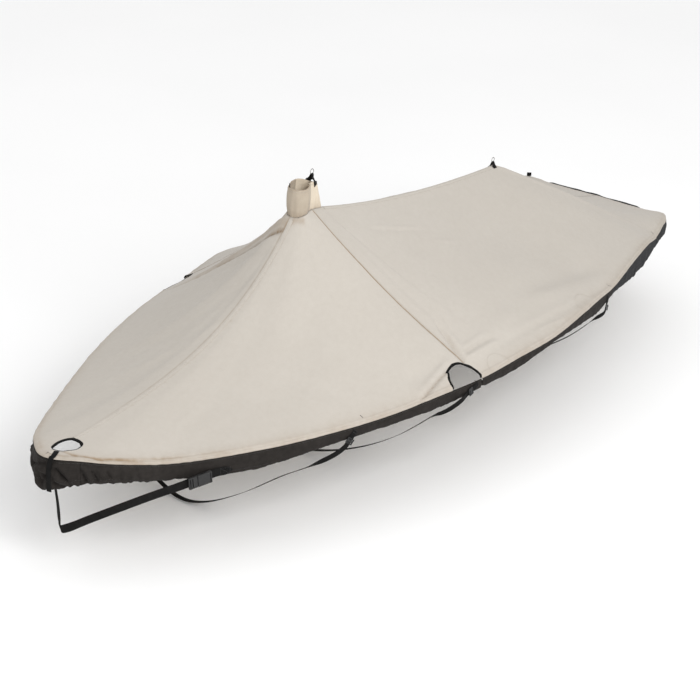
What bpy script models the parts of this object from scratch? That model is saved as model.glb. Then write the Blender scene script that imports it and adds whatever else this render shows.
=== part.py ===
"""Mast-up top cover for a 4.2 m sailing dinghy, as it sits on the boat.

The boat itself is not built.  Everything is laid out in boat coordinates: x runs aft from
the stem, port is -y, and z = 0 is the gunwale amidships.  The parent empty moves the whole
cover so that the world origin is the hanging point under the canopy's ridge.
"""
import math

import bmesh
import bpy
from mathutils import Matrix, Vector
from mathutils.bvhtree import BVHTree

# ---------------------------------------------------------------- driving dimensions, metres
CLOTH = 0.0020            # canopy and collar cloth, with its seam turned in
SKIRT_CLOTH = 0.0016      # dark skirt cloth
WEBBING = 0.0018          # strap thickness
GAP = 0.0004              # between pieces that are sewn edge to edge
UP = Vector((0.0, 0.0, 1.0))

LIP_HEIGHT = 0.020        # the canopy turns down over the gunwale by this much,
LIP_HEIGHT_BOW = 0.003    # and by less round the stem,
LIP_FULL_AT = 0.400       # up to this far along the edge
LIP_INSET = 0.014
RIDGE_END_X = 3.120       # ridge tab, where the aft halyard lifts the canopy
RIDGE_END_Z = 0.398
SIDE_SEAM_X = 1.765       # foot of the seam from the collar to the shroud
QUARTER_X = 3.880         # foot of the crease from the ridge tab to the quarter
HANG_X = 1.960            # hanging point under the ridge
SKIRT_STRIP = 0.105       # cut width of the skirt strip

# The cover's edge on one side, stem to the middle of the transom: where the canopy's cloth
# meets the skirt, and how far the skirt hangs there before its elastic hem turns it under.
# columns: x, half_breadth, height, drop
EDGE = (
    (-0.014, 0.000, 0.026, 0.145),
    (-0.007, 0.034, 0.026, 0.141),
    (0.014, 0.068, 0.024, 0.130),
    (0.060, 0.124, 0.020, 0.106),
    (0.126, 0.187, 0.006, 0.090),
    (0.336, 0.316, -0.034, 0.075),
    (0.672, 0.495, -0.045, 0.085),
    (0.950, 0.620, -0.040, 0.056),
    (1.250, 0.727, -0.029, 0.048),
    (1.550, 0.798, -0.015, 0.058),
    (1.800, 0.832, -0.016, 0.046),
    (2.050, 0.856, 0.000, 0.052),
    (2.310, 0.866, 0.006, 0.026),
    (2.620, 0.836, 0.013, 0.052),
    (2.850, 0.795, 0.003, 0.068),
    (3.050, 0.757, -0.010, 0.036),
    (3.350, 0.690, 0.004, 0.088),
    (3.680, 0.602, -0.016, 0.096),
    (3.880, 0.540, -0.058, 0.052),
    (4.020, 0.500, -0.046, 0.070),
    (4.150, 0.452, -0.052, 0.086),
    (4.203, 0.400, -0.062, 0.088),
    (4.213, 0.290, -0.073, 0.084),
    (4.218, 0.100, -0.075, 0.080),
    (4.220, 0.000, -0.073, 0.080),
)
STARBOARD_EVENNESS = 0.55   # the far edge waves less than the port one,
STARBOARD_LOW = 0.020       # and is pulled lower beside the mast
STARBOARD_RISE = {2.050: 0.008, 2.310: -0.028, 2.620: -0.012}      # aft of its shroud it is held up, then sinks

# Where the ribs of the canopy stand along each stretch of the edge.
FORE_SHARES = (0.0, 0.006, 0.012, 0.020, 0.031, 0.047, 0.072, 0.108, 0.16, 0.22, 0.29, 0.36, 0.43,
               0.50, 0.57, 0.64, 0.71, 0.77, 0.83, 0.88, 0.925, 0.96, 1.0)
AFT_SHARES = (0.0, 0.02, 0.05, 0.09, 0.14, 0.20, 0.27, 0.34, 0.41, 0.48, 0.55, 0.62, 0.69,
              0.76, 0.83, 0.89, 0.95, 1.0)
STERN_SHARES = (0.16, 0.32, 0.44, 0.50, 0.545, 0.59, 0.65, 0.76, 0.88, 1.0)

# Mast collar sections, base to top.  The front wraps the mast, the back narrows to a fin.
# columns: share_of_height, front_centre_x, front_radius, aft_x
COLLAR = (
    (0.00, 1.538, 0.0430, 1.694),
    (0.25, 1.539, 0.0480, 1.686),
    (0.50, 1.540, 0.0495, 1.676),
    (0.78, 1.542, 0.0490, 1.665),
    (1.00, 1.543, 0.0460, 1.654),
)
# columns: share_of_side, base_z, top_z
COLLAR_HEIGHTS = (
    (0.00, 0.580, 0.706),
    (0.16, 0.582, 0.705),
    (0.34, 0.590, 0.708),
    (0.54, 0.596, 0.724),
    (1.00, 0.571, 0.696),
)
COLLAR_FIN = 0.0050       # half thickness of the hollow at the fin's aft edge
COLLAR_TURN_T = 0.44      # the front is round up to here,
COLLAR_TURN = math.radians(100.0)    # through this angle on each side
COLLAR_SEAM_T = 0.53      # where the front wrap meets the aft gusset, as a share of a side

# Ridge of the aft tent, and how much each rib bends between its head and the gunwale.
RIDGE_SAG = 0.036
BEND_FORE = 2.20          # per metre: the foredeck seam drops fast, then lies on the deck
BEND_FORE_MID = 1.70
BEND_SIDE = 0.55
BEND_AFT = 0.70
BEND_CREASE = -0.36
BEND_STERN = 0.25

# The stern facet falls away behind the crease to the quarter, along to the middle of the stern.
# columns: share_along_the_stern, fall
FACET_FALL = ((0.00, 0.000), (0.16, 0.036), (0.46, 0.050), (1.00, 0.034))

CENTRE_RIDGE = 0.006          # the centreline seam stands up by this much
CENTRE_RIDGE_WIDE = 0.070

# Broad folds: a ridge (or trough, if negative) between two points of one side, in plan.
FOLD_COLUMNS = ("side", "x_from", "y_from", "x_to", "y_to", "width", "height")
PORT, STARBOARD = -1, 1
FOLDS = (
    (STARBOARD, 1.600, 0.090, 1.730, 0.720, 0.022, 0.004),
    (PORT, 1.470, 0.690, 1.640, 0.700, 0.034, -0.014),
    (PORT, 2.560, 0.690, 2.980, 0.700, 0.050, 0.016),
    (PORT, 2.480, 0.610, 2.960, 0.630, 0.060, -0.010),
    (PORT, 1.860, 0.740, 2.200, 0.700, 0.045, 0.010),
    (PORT, 0.900, 0.360, 1.250, 0.300, 0.110, -0.010),
    (STARBOARD, 2.000, 0.620, 2.650, 0.560, 0.090, -0.012),
    (PORT, 2.150, 0.300, 2.850, 0.360, 0.160, -0.008),
)

# Openings in the canopy
# Forestay opening, a little to port: round at the far side, straight where the lip is tucked.
# columns: x, y
FORESTAY_OUTLINE = (
    (0.0370, 0.0060),
    (0.0480, 0.0185),
    (0.0700, 0.0255),
    (0.0980, 0.0275),
    (0.1240, 0.0185),
    (0.1410, 0.0005),
    (0.1485, -0.0240),
    (0.1450, -0.0500),
    (0.1280, -0.0635),
    (0.1030, -0.0640),
    (0.0780, -0.0520),
    (0.0580, -0.0330),
    (0.0420, -0.0130),
)
# Shroud opening: a half-moon that leans aft, along the edge from its middle and up the cloth.
SHROUD_X = 1.686
# columns: along, up
SHROUD_OUTLINE = (
    (-0.094, 0.018),
    (-0.082, 0.046),
    (-0.058, 0.078),
    (-0.024, 0.100),
    (0.016, 0.113),
    (0.050, 0.110),
    (0.076, 0.092),
    (0.091, 0.062),
    (0.094, 0.034),
    (0.093, 0.018),
)
SHROUD_CENTRE = (0.010, 0.050)
BINDING_RADIUS = 0.0035
BINDING_CLEAR = 0.0010
SLIT_X = 1.782            # the skirt is parted here, below the shroud opening

BOW_CAP_X = 0.058         # seam between the bow cap and the side skirts
SKIRT_JOINT_X = 3.030
SKIRT_STERN_X = 3.880

COLOURS = {
    "canopy cloth": ((0.68, 0.63, 0.57), 0.85, 0.0),
    "collar cloth": ((0.64, 0.53, 0.42), 0.85, 0.0),
    "skirt cloth": ((0.042, 0.037, 0.032), 0.75, 0.0),
    "black webbing": ((0.012, 0.012, 0.012), 0.65, 0.0),
    "black plastic": ((0.010, 0.010, 0.010), 0.35, 0.0),
    "steel": ((0.62, 0.62, 0.60), 0.25, 1.0),
}


# ---------------------------------------------------------------- scene helpers
def clear_scene():
    for obj in list(bpy.data.objects):
        bpy.data.objects.remove(obj, do_unlink=True)


def make_collection(name):
    coll = bpy.data.collections.new(name)
    bpy.context.scene.collection.children.link(coll)
    return coll


def make_material(owner, finish):
    colour, roughness, metallic = COLOURS[finish]
    mat = bpy.data.materials.new(owner + " " + finish)
    mat.use_nodes = True
    bsdf = mat.node_tree.nodes["Principled BSDF"]
    bsdf.inputs["Base Color"].default_value = (*colour, 1.0)
    bsdf.inputs["Roughness"].default_value = roughness
    bsdf.inputs["Metallic"].default_value = metallic
    return mat


def add_part(name, data, finish, location=(0.0, 0.0, 0.0)):
    """Put a mesh or curve in the cover's collection, in boat coordinates."""
    obj = bpy.data.objects.new(name, data)
    PARTS.objects.link(obj)
    obj.parent = BOAT
    obj.location = location
    data.materials.append(make_material(name, finish))
    return obj


def sheet_mesh(name, rows):
    """Open surface through rows of points, all rows the same length."""
    count = len(rows[0])
    points = [tuple(p) for row in rows for p in row]
    faces = []
    for r in range(len(rows) - 1):
        for c in range(count - 1):
            a = r * count + c
            faces.append((a, a + 1, a + count + 1, a + count))
    mesh = bpy.data.meshes.new(name)
    mesh.from_pydata(points, [], faces)
    mesh.shade_smooth()
    return mesh


def thicken(obj, thickness):
    """Solidify the open surface to its outward side."""
    mod = obj.modifiers.new("thickness", "SOLIDIFY")
    mod.thickness = thickness
    mod.offset = 1.0
    mod.use_quality_normals = True
    return mod


# ---------------------------------------------------------------- smooth curves through tables
def spline(points, steps):
    """Centripetal Catmull-Rom curve through points of any dimension."""
    def knot(a, b):
        return max(math.dist(a[:2], b[:2]) ** 0.5, 1e-4)

    def lerp(a, b, ta, tb, t):
        k = (t - ta) / (tb - ta)
        return [p + (q - p) * k for p, q in zip(a, b)]

    first = [2 * a - b for a, b in zip(points[0], points[1])]
    last = [2 * a - b for a, b in zip(points[-1], points[-2])]
    ctrl = [first, *points, last]
    out = []
    for i in range(len(points) - 1):
        p0, p1, p2, p3 = ctrl[i:i + 4]
        t1 = knot(p0, p1)
        t2 = t1 + knot(p1, p2)
        t3 = t2 + knot(p2, p3)
        for j in range(steps):
            t = t1 + (t2 - t1) * j / steps
            a1 = lerp(p0, p1, 0.0, t1, t)
            a2 = lerp(p1, p2, t1, t2, t)
            a3 = lerp(p2, p3, t2, t3, t)
            b1 = lerp(a1, a2, 0.0, t2, t)
            b2 = lerp(a2, a3, t1, t3, t)
            out.append(lerp(b1, b2, t1, t2, t))
    out.append(list(points[-1]))
    return out


def evened(side):
    """Edge table for one side; the starboard edge's waves are gentler."""
    if side == PORT:
        return EDGE
    keep = STARBOARD_EVENNESS
    rows = []
    for i, (x, half, height, drop) in enumerate(EDGE):
        near = EDGE[max(i - 1, 0)], EDGE[min(i + 1, len(EDGE) - 1)]
        mean_height = (near[0][2] + near[1][2]) / 2
        mean_drop = (near[0][3] + near[1][3]) / 2
        low = STARBOARD_LOW * math.exp(-(((x - 1.45) / 0.60) ** 2))
        low -= STARBOARD_RISE.get(x, 0.0)
        rows.append((x, half, mean_height + (height - mean_height) * keep - low,
                     mean_drop + (drop - mean_drop) * keep))
    rows[0] = EDGE[0]
    rows[-1] = EDGE[-1]
    return rows


class EdgeLine:
    """The gunwale edge of one side, looked up by distance along it.

    Between the canopy's ribs the edge is straight, so that the skirt's top follows it exactly.
    """

    def __init__(self, side):
        self.side = side
        self.points = spline(evened(side), 12)
        self.girth = [0.0]
        for a, b in zip(self.points, self.points[1:]):
            self.girth.append(self.girth[-1] + math.dist(a[:2], b[:2]))
        self.length = self.girth[-1]
        seam, quarter = self.girth_at_x(SIDE_SEAM_X), self.girth_at_x(QUARTER_X)
        self.stations = [seam * k for k in FORE_SHARES]
        self.stations += [seam + (quarter - seam) * k for k in AFT_SHARES[1:]]
        self.stations += [quarter + (self.length - quarter) * k for k in STERN_SHARES]

    def girth_at_x(self, x):
        """Distance along the edge of the first point at this x."""
        for i in range(1, len(self.points)):
            a, b = self.points[i - 1][0], self.points[i][0]
            if a <= x <= b:
                return self.girth[i - 1] + (self.girth[i] - self.girth[i - 1]) * (x - a) / (b - a)
        return self.length

    def at(self, s):
        """Point on the edge, outward direction in plan, and the skirt's drop."""
        _, out, drop = self.on_curve(s)
        for low, high in zip(self.stations, self.stations[1:]):
            if low <= s <= high:
                a, b = self.on_curve(low)[0], self.on_curve(high)[0]
                return a + (b - a) * ((s - low) / (high - low)), out, drop
        return self.on_curve(s)[0], out, drop

    def on_curve(self, s):
        s = min(max(s, 0.0), self.length)
        i = 1
        while i < len(self.girth) - 1 and self.girth[i] < s:
            i += 1
        k = (s - self.girth[i - 1]) / (self.girth[i] - self.girth[i - 1])
        row = [a + (b - a) * k for a, b in zip(self.points[i - 1], self.points[i])]
        low = self.points[max(i - 2, 0)]
        high = self.points[min(i + 1, len(self.points) - 1)]
        along = Vector((high[0] - low[0], high[1] - low[1]))
        if s <= 1e-6:
            along = Vector((0.0, 1.0))
        if s >= self.length - 1e-6:
            along = Vector((0.0, -1.0))
        along.normalize()
        out = Vector((-along.y, along.x * self.side, 0.0))
        return Vector((row[0], row[1] * self.side, row[2])), out, row[3]


# ---------------------------------------------------------------- mast collar's outline
def table_row(table, value):
    """The columns after the first, read at a value of the first column."""
    for low, high in zip(table, table[1:]):
        if value <= high[0]:
            k = (value - low[0]) / (high[0] - low[0])
            return [a + (b - a) * k for a, b in zip(low, high)][1:]
    return list(table[-1][1:])


def collar_point(t, side, up=0.0, swell=0.0):
    """Point of the collar: t runs from 0 at the front to 1 at the fin's aft edge."""
    centre_x, radius, aft_x = table_row(COLLAR, up)
    base_z, top_z = table_row(COLLAR_HEIGHTS, t)
    if t <= COLLAR_TURN_T:
        angle = COLLAR_TURN * t / COLLAR_TURN_T
        x = centre_x - (radius + swell) * math.cos(angle)
        y = (radius + swell) * math.sin(angle)
    else:
        k = (t - COLLAR_TURN_T) / (1.0 - COLLAR_TURN_T)
        start_x = centre_x - (radius + swell) * math.cos(COLLAR_TURN)
        start_y = (radius + swell) * math.sin(COLLAR_TURN)
        x = start_x + (aft_x + swell - start_x) * k
        y = start_y + (COLLAR_FIN + swell - start_y) * k ** 0.8
    return Vector((x, y * side, base_z + (top_z - base_z) * up))


# ---------------------------------------------------------------- canopy
COLLAR_CLEAR = CLOTH + 0.0009
SIDE_SEAM_T = 0.62        # where the side seam leaves the collar's base
COLLAR_SHARE = 0.12       # of the aft panel's ribs that head at the collar, not the ridge
LIP_ROUND_OUT, LIP_ROUND_UP = 0.30, 0.72    # the lip's round, as shares of inset and height
RIB_SHARES = (0.0, 0.04, 0.10, 0.18, 0.28, 0.39, 0.51, 0.63, 0.75, 0.86, 0.94, 1.0)


def ridge_point(k, side):
    """Point of the aft ridge, k from 0 at the collar to 1 at the ridge tab."""
    start = collar_point(1.0, side, swell=COLLAR_CLEAR)
    x = start.x + (RIDGE_END_X - start.x) * k
    z = start.z + (RIDGE_END_Z - start.z) * k - RIDGE_SAG * 4 * k * (1 - k) * (1.15 - 0.3 * k)
    return Vector((x, GAP / 2 * side, z))


def fold_lift(x, y, side):
    lift = 0.0
    for row in FOLDS:
        fold = dict(zip(FOLD_COLUMNS, row))
        if fold["side"] != side:
            continue
        a = Vector((fold["x_from"], fold["y_from"]))
        b = Vector((fold["x_to"], fold["y_to"]))
        p = Vector((x, abs(y)))
        k = (p - a).dot(b - a) / (b - a).length_squared
        across = (p - a - (b - a) * k).length
        ends = 1.0
        if k < 0.0:
            ends = math.exp(-((k / 0.25) ** 2))
        if k > 1.0:
            ends = math.exp(-(((k - 1.0) / 0.25) ** 2))
        lift += fold["height"] * ends * math.exp(-((across / fold["width"]) ** 2))
    return lift


def lip_height(s):
    share = min(1.0, s / LIP_FULL_AT)
    return LIP_HEIGHT_BOW + (LIP_HEIGHT - LIP_HEIGHT_BOW) * share ** 1.5


def rib(head, edge, s, bend, side):
    """Points down one rib of the canopy: head, gunwale, and the lip that turns down."""
    foot, out, _ = edge.at(s)
    lip = lip_height(s)
    turn = foot - out * LIP_INSET + UP * lip
    run = math.hypot(turn.x - head.x, turn.y - head.y)
    steep = bend * run
    points = []
    for v in RIB_SHARES:
        if abs(steep) > 1e-3:
            left = (math.exp(-steep * v) - math.exp(-steep)) / (1.0 - math.exp(-steep))
        else:
            left = 1.0 - v
        x = head.x + (turn.x - head.x) * v
        y = head.y + (turn.y - head.y) * v
        z = turn.z + (head.z - turn.z) * left + fold_lift(x, y, side) * math.sin(math.pi * v) ** 0.5
        points.append(Vector((x, y, z)))
    points.append(foot - out * LIP_INSET * LIP_ROUND_OUT + UP * lip * LIP_ROUND_UP)
    points.append(foot + UP * GAP / 2)
    return points


def blend_bend(k, *stops):
    """Piecewise smooth value through evenly spaced stops."""
    spot = k * (len(stops) - 1)
    i = min(int(spot), len(stops) - 2)
    f = spot - i
    f = f * f * (3 - 2 * f)
    return stops[i] + (stops[i + 1] - stops[i]) * f


def fore_ribs(edge):
    """Ribs of the fore panel, from the centreline seam to the side seam."""
    side = edge.side
    s_end = edge.girth_at_x(SIDE_SEAM_X)
    ribs = []
    for k in FORE_SHARES:
        head = collar_point(SIDE_SEAM_T * k ** 0.8, side, swell=COLLAR_CLEAR)
        s = s_end * k
        bend = blend_bend(k, BEND_FORE, BEND_FORE_MID, BEND_SIDE)
        if k == 0.0:
            head.y = 0.0
        if k == 1.0:
            s -= GAP / 2
        points = rib(head, edge, s, bend, side)
        for i, p in enumerate(points):
            along = min(1.0, i / 3) * min(1.0, (len(points) - 1 - i) / 3)
            p.z += CENTRE_RIDGE * along * math.exp(-abs(p.y) / CENTRE_RIDGE_WIDE)
        if k == 0.0:
            for p in points:
                p.y = GAP / 2 * side
        ribs.append(points)
    return ribs


def aft_ribs(edge):
    """Ribs of the aft panel: side seam, ridge, crease to the quarter, and round the stern."""
    side = edge.side
    s_seam = edge.girth_at_x(SIDE_SEAM_X)
    s_quarter = edge.girth_at_x(QUARTER_X)
    ribs = []
    for k in AFT_SHARES:
        if k < COLLAR_SHARE:
            t = SIDE_SEAM_T + (1.0 - SIDE_SEAM_T) * k / COLLAR_SHARE
            head = collar_point(t, side, swell=COLLAR_CLEAR)
        else:
            head = ridge_point((k - COLLAR_SHARE) / (1.0 - COLLAR_SHARE), side)
        s = s_seam + (s_quarter - s_seam) * k
        if k == 0.0:
            s += GAP / 2
        bend = blend_bend(k, BEND_SIDE, BEND_AFT, BEND_AFT, BEND_CREASE)
        ribs.append(rib(head, edge, s, bend, side))
    tab = ridge_point(1.0, side)
    for k in STERN_SHARES:
        head = tab + Vector((0.006 * k, 0.0, -0.001 * k))
        s = s_quarter + (edge.length - s_quarter) * k
        bend = blend_bend(k, BEND_CREASE, BEND_STERN, BEND_STERN)
        points = rib(head, edge, s, bend, side)
        for p, v in zip(points, RIB_SHARES):
            p.z -= table_row(FACET_FALL, k)[0] * math.sin(math.pi * v ** 1.5)
        if k == 1.0:
            for p in points:
                p.y = GAP / 2 * side
        ribs.append(points)
    return ribs


def bow_to_stern(rows, side):
    """Rows of a side's sheet in the order that turns its faces outward."""
    return rows if side == PORT else list(reversed(rows))


def canopy_panel(name, ribs, side):
    obj = add_part(name, sheet_mesh(name, bow_to_stern(ribs, side)), "canopy cloth")
    thicken(obj, CLOTH)
    return obj


def point_up_rib(edge, s, height):
    """Point on the canopy this far above the edge, measured along the cloth."""
    s_seam = edge.girth_at_x(SIDE_SEAM_X)
    k = s / s_seam
    if k <= 1.0:
        head = collar_point(SIDE_SEAM_T * k ** 0.8, edge.side, swell=COLLAR_CLEAR)
        bend = blend_bend(k, BEND_FORE, BEND_FORE_MID, BEND_SIDE)
    else:
        head = collar_point(SIDE_SEAM_T, edge.side, swell=COLLAR_CLEAR)
        bend = BEND_SIDE
    points = list(reversed(rib(head, edge, s, bend, edge.side)))
    left = height
    for a, b in zip(points, points[1:]):
        step = (b - a).length
        if left <= step:
            return a + (b - a) * (left / step)
        left -= step
    return points[-1]


# ---------------------------------------------------------------- openings and their bindings
def make_cutter(name, outline, direction, reach):
    """Closed prism through an outline of points, hidden from view."""
    bm = bmesh.new()
    near = [bm.verts.new(p - direction * reach) for p in outline]
    far = [bm.verts.new(p + direction * reach) for p in outline]
    centre = sum(outline, Vector()) / len(outline)
    near_mid = bm.verts.new(centre - direction * reach)
    far_mid = bm.verts.new(centre + direction * reach)
    for i in range(len(outline)):
        j = (i + 1) % len(outline)
        bm.faces.new((near[i], near[j], far[j], far[i]))
        bm.faces.new((near[j], near[i], near_mid))
        bm.faces.new((far[i], far[j], far_mid))
    bmesh.ops.recalc_face_normals(bm, faces=bm.faces)
    mesh = bpy.data.meshes.new(name)
    bm.to_mesh(mesh)
    bm.free()
    obj = bpy.data.objects.new(name, mesh)
    CUTTERS.objects.link(obj)
    obj.parent = BOAT
    obj.hide_render = True
    obj.display_type = "WIRE"
    return obj


def cut(obj, cutter):
    mod = obj.modifiers.new("opening", "BOOLEAN")
    mod.operation = "DIFFERENCE"
    mod.solver = "EXACT"
    mod.object = cutter


def drop_onto(obj, point, direction):
    """Where a line from the point meets the object's own open surface, and its normal there."""
    mesh = obj.data
    tree = BVHTree.FromPolygons([v.co for v in mesh.vertices], [p.vertices for p in mesh.polygons])
    hit, normal, _, _ = tree.ray_cast(point, direction)
    return hit, normal


def forestay_outline(grow):
    closed = FORESTAY_OUTLINE[-2:] + FORESTAY_OUTLINE + FORESTAY_OUTLINE[:3]
    line = spline(closed, 2)
    line = line[4:4 + 2 * len(FORESTAY_OUTLINE)]
    line.reverse()
    points = []
    for i, (x, y) in enumerate(line):
        before, after = line[i - 1], line[(i + 1) % len(line)]
        outward = Vector((after[1] - before[1], before[0] - after[0], 0.0)).normalized()
        points.append(Vector((x, y, 0.0)) + outward * grow)
    return points


def shroud_outline(edge, grow, lowest):
    """Round the shroud opening from the forward foot to the aft foot."""
    s_mid = edge.girth_at_x(SHROUD_X)
    along_mid, up_mid = SHROUD_CENTRE
    line = [(p[0], p[1]) for p in spline(SHROUD_OUTLINE, 3)]
    line = [(line[0][0], lowest), *line, (line[-1][0], lowest)]
    points = []
    for along, up in line:
        away = math.hypot(along - along_mid, max(0.0, up - up_mid))
        grown_along = along + grow * (along - along_mid) / away
        grown_up = up + grow * max(0.0, up - up_mid) / away
        points.append(point_up_rib(edge, s_mid + grown_along, grown_up))
    return points


def tube(name, points, radius, finish, closed=False):
    """Round cord or rolled binding along points."""
    curve = bpy.data.curves.new(name, "CURVE")
    curve.dimensions = "3D"
    curve.bevel_depth = radius
    curve.bevel_resolution = 1
    curve.use_fill_caps = not closed
    line = curve.splines.new("POLY")
    line.points.add(len(points) - 1)
    for spot, p in zip(line.points, points):
        spot.co = (*p, 1.0)
    line.use_cyclic_u = closed
    return add_part(name, curve, finish)


def build_canopy():
    names = {PORT: "port", STARBOARD: "starboard"}
    room = BINDING_RADIUS + BINDING_CLEAR
    forestay_cut = make_cutter("forestay_cutter", forestay_outline(room), UP, 0.30)
    fore = {}
    for side, word in names.items():
        edge = EDGES[side]
        fore[side] = canopy_panel("canopy_fore_" + word, fore_ribs(edge), side)
        aft = canopy_panel("canopy_aft_" + word, aft_ribs(edge), side)
        outline = shroud_outline(edge, room, -0.020)
        lean = Vector((0.0, 0.64 * side, 0.77))
        shroud_cut = make_cutter("shroud_cutter_" + word, outline, lean, 0.060)
        cut(fore[side], forestay_cut)
        cut(fore[side], shroud_cut)
        cut(aft, shroud_cut)
        path = [p + lean * CLOTH / 2 for p in shroud_outline(edge, 0.0, BINDING_RADIUS * 1.3)]
        tube("binding_shroud_" + word, path, BINDING_RADIUS, "black webbing")
    loop = []
    for p in forestay_outline(0.0):
        side = PORT if p.y < 0 else STARBOARD
        beside_seam = Vector((p.x, side * max(abs(p.y), GAP * 3), 1.0))
        hit, _ = drop_onto(fore[side], beside_seam, -UP)
        loop.append(Vector((p.x, p.y, hit.z + CLOTH / 2)))
    tube("binding_forestay", loop, BINDING_RADIUS, "black webbing", closed=True)


# ---------------------------------------------------------------- mast collar
def build_collar():
    heights = (0.0, 0.25, 0.5, 0.75, 1.0)
    wrap_shares = (1.0, 0.88, 0.77, 0.66, 0.55, 0.44, 0.33, 0.22, 0.11)
    gusset_shares = (0.0, 0.3, 0.6, 0.85, 1.0)
    wrap = []
    for k in wrap_shares:
        wrap.append([collar_point((COLLAR_SEAM_T - GAP) * k, STARBOARD, up) for up in heights])
    wrap.append([collar_point(0.0, PORT, up) for up in heights])
    for k in reversed(wrap_shares):
        wrap.append([collar_point((COLLAR_SEAM_T - GAP) * k, PORT, up) for up in heights])
    gusset = []
    for side, shares in ((PORT, gusset_shares), (STARBOARD, reversed(gusset_shares))):
        for k in shares:
            t = COLLAR_SEAM_T + 0.004 + (1.0 - COLLAR_SEAM_T - 0.004) * k
            gusset.append([collar_point(t, side, up) for up in heights])
    for name, rows in (("collar_wrap", wrap), ("collar_gusset", gusset)):
        obj = add_part(name, sheet_mesh(name, list(reversed(rows))), "collar cloth")
        thicken(obj, CLOTH)


# ---------------------------------------------------------------- skirt
GATHER_END = 0.230        # the hem's elastic shirrs the cloth this far back from the stem
GATHER_WAVE = 0.0045
GATHER_PITCH = 0.030
GATHER_DRIFT, GATHER_DRIFT_RATE = 1.3, 41.0    # makes the shirring uneven
GATHER_FLAT, GATHER_FULL = 0.013, 0.033        # from the bow cap's seam: no shirring, full shirring
TUCK_MOST, TUCK_LEAST = 0.040, 0.014
SKIRT_BELLY = 0.004
ROUNDED_START, ROUNDED_RUN = 0.62, 0.030       # the mid skirt's first corner is cut round


def skirt_section(edge, s, start=None):
    """Points down the skirt: from the canopy's edge, over its belly, to the tucked hem."""
    foot, out, drop = edge.at(s)
    if start is not None:
        full = min(1.0, (s - start) / ROUNDED_RUN) ** 0.5
        drop *= ROUNDED_START + (1.0 - ROUNDED_START) * full
    tuck = min(TUCK_MOST, max(TUCK_LEAST, SKIRT_STRIP - drop))
    wave = 0.0
    if s < GATHER_END:
        seam = edge.girth_at_x(BOW_CAP_X)
        strength = min(1.0, s / 0.04) * min(1.0, (GATHER_END - s) / 0.05)
        beside_seam = (abs(s - seam) - GATHER_FLAT) / (GATHER_FULL - GATHER_FLAT)
        strength *= min(1.0, max(0.0, beside_seam))
        phase = 2 * math.pi * s / GATHER_PITCH + GATHER_DRIFT * math.sin(s * GATHER_DRIFT_RATE)
        wave = GATHER_WAVE * strength * math.sin(phase)
    return [
        foot - UP * GAP / 2,
        foot + out * (SKIRT_BELLY + 0.4 * wave) - UP * drop * 0.45,
        foot + out * (0.001 + wave) - UP * drop * 0.92,
        foot + out * (wave - 0.010) - UP * (drop + 0.002),
        foot - out * (tuck - 0.5 * wave) - UP * (drop - 0.004),
    ]


def skirt_stations(edge, s_from, s_to):
    """Distances along the edge: at every canopy rib, and close together where it is gathered."""
    stops = [s_from]
    stops += [s for s in edge.stations if s_from + 0.001 < s < s_to - 0.001]
    stops.append(s_to)
    spots = [s_from]
    for low, high in zip(stops, stops[1:]):
        pieces = math.ceil((high - low) / 0.0115) if low < GATHER_END else 1
        spots += [low + (high - low) * (i + 1) / pieces for i in range(pieces)]
    return spots


def build_skirt():
    joints = (BOW_CAP_X, SLIT_X, SKIRT_JOINT_X, SKIRT_STERN_X)
    for side, word in ((PORT, "port"), (STARBOARD, "starboard")):
        edge = EDGES[side]
        s_joint = [edge.girth_at_x(x) for x in joints]
        for part, s_from, s_to in zip(("fore", "mid", "aft"), s_joint, s_joint[1:]):
            start = s_from + (0.004 if part == "mid" else GAP / 2)
            end = s_to - (0.004 if part == "fore" else GAP / 2)
            rounded = start if part == "mid" else None
            rows = [skirt_section(edge, s, rounded) for s in skirt_stations(edge, start, end)]
            name = "skirt_" + part + "_" + word
            obj = add_part(name, sheet_mesh(name, bow_to_stern(rows, side)), "skirt cloth")
            thicken(obj, SKIRT_CLOTH)
    build_wrapped_skirt("skirt_bow_cap", STARBOARD, 0.0, joints[0])
    build_wrapped_skirt("skirt_stern", PORT, None, joints[-1])


def build_wrapped_skirt(name, first_side, middle, x_joint):
    """Skirt piece that goes round the stem or the transom from one side to the other."""
    rows = []
    for side in (first_side, -first_side):
        edge = EDGES[side]
        centre = edge.length if middle is None else middle
        joint = edge.girth_at_x(x_joint)
        joint += -GAP / 2 if middle is not None else GAP / 2
        low, high = sorted((centre, joint))
        run = [skirt_section(edge, s) for s in skirt_stations(edge, low, high)]
        if (side == first_side) != (middle is None):
            run.reverse()
        rows.extend(run if side == first_side else run[1:])
    obj = add_part(name, sheet_mesh(name, rows), "skirt cloth")
    thicken(obj, SKIRT_CLOTH)


# ---------------------------------------------------------------- webbing
def ribbon(name, path, outward, widths, thickness=WEBBING, finish="black webbing"):
    """Flat strap: the path is the middle of its inner face, outward its face direction there."""
    rows = []
    for i, (p, face) in enumerate(zip(path, outward)):
        along = (path[min(i + 1, len(path) - 1)] - path[max(i - 1, 0)]).normalized()
        across = along.cross(face).normalized()
        half = widths[i] / 2
        rows.append([p - across * half, p + across * half])
    obj = add_part(name, sheet_mesh(name, rows), finish)
    thicken(obj, thickness)
    return obj


def smooth_path(points, steps=4):
    return [Vector(p) for p in spline([tuple(p) for p in points], steps)]


def skirt_face(edge, s, share, lift):
    """Point on the skirt's outer face, this share of its drop below the canopy."""
    foot, out, drop = edge.at(s)
    belly = SKIRT_BELLY + SKIRT_CLOTH + GAP
    return foot + out * (belly + lift) - UP * drop * share


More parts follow.
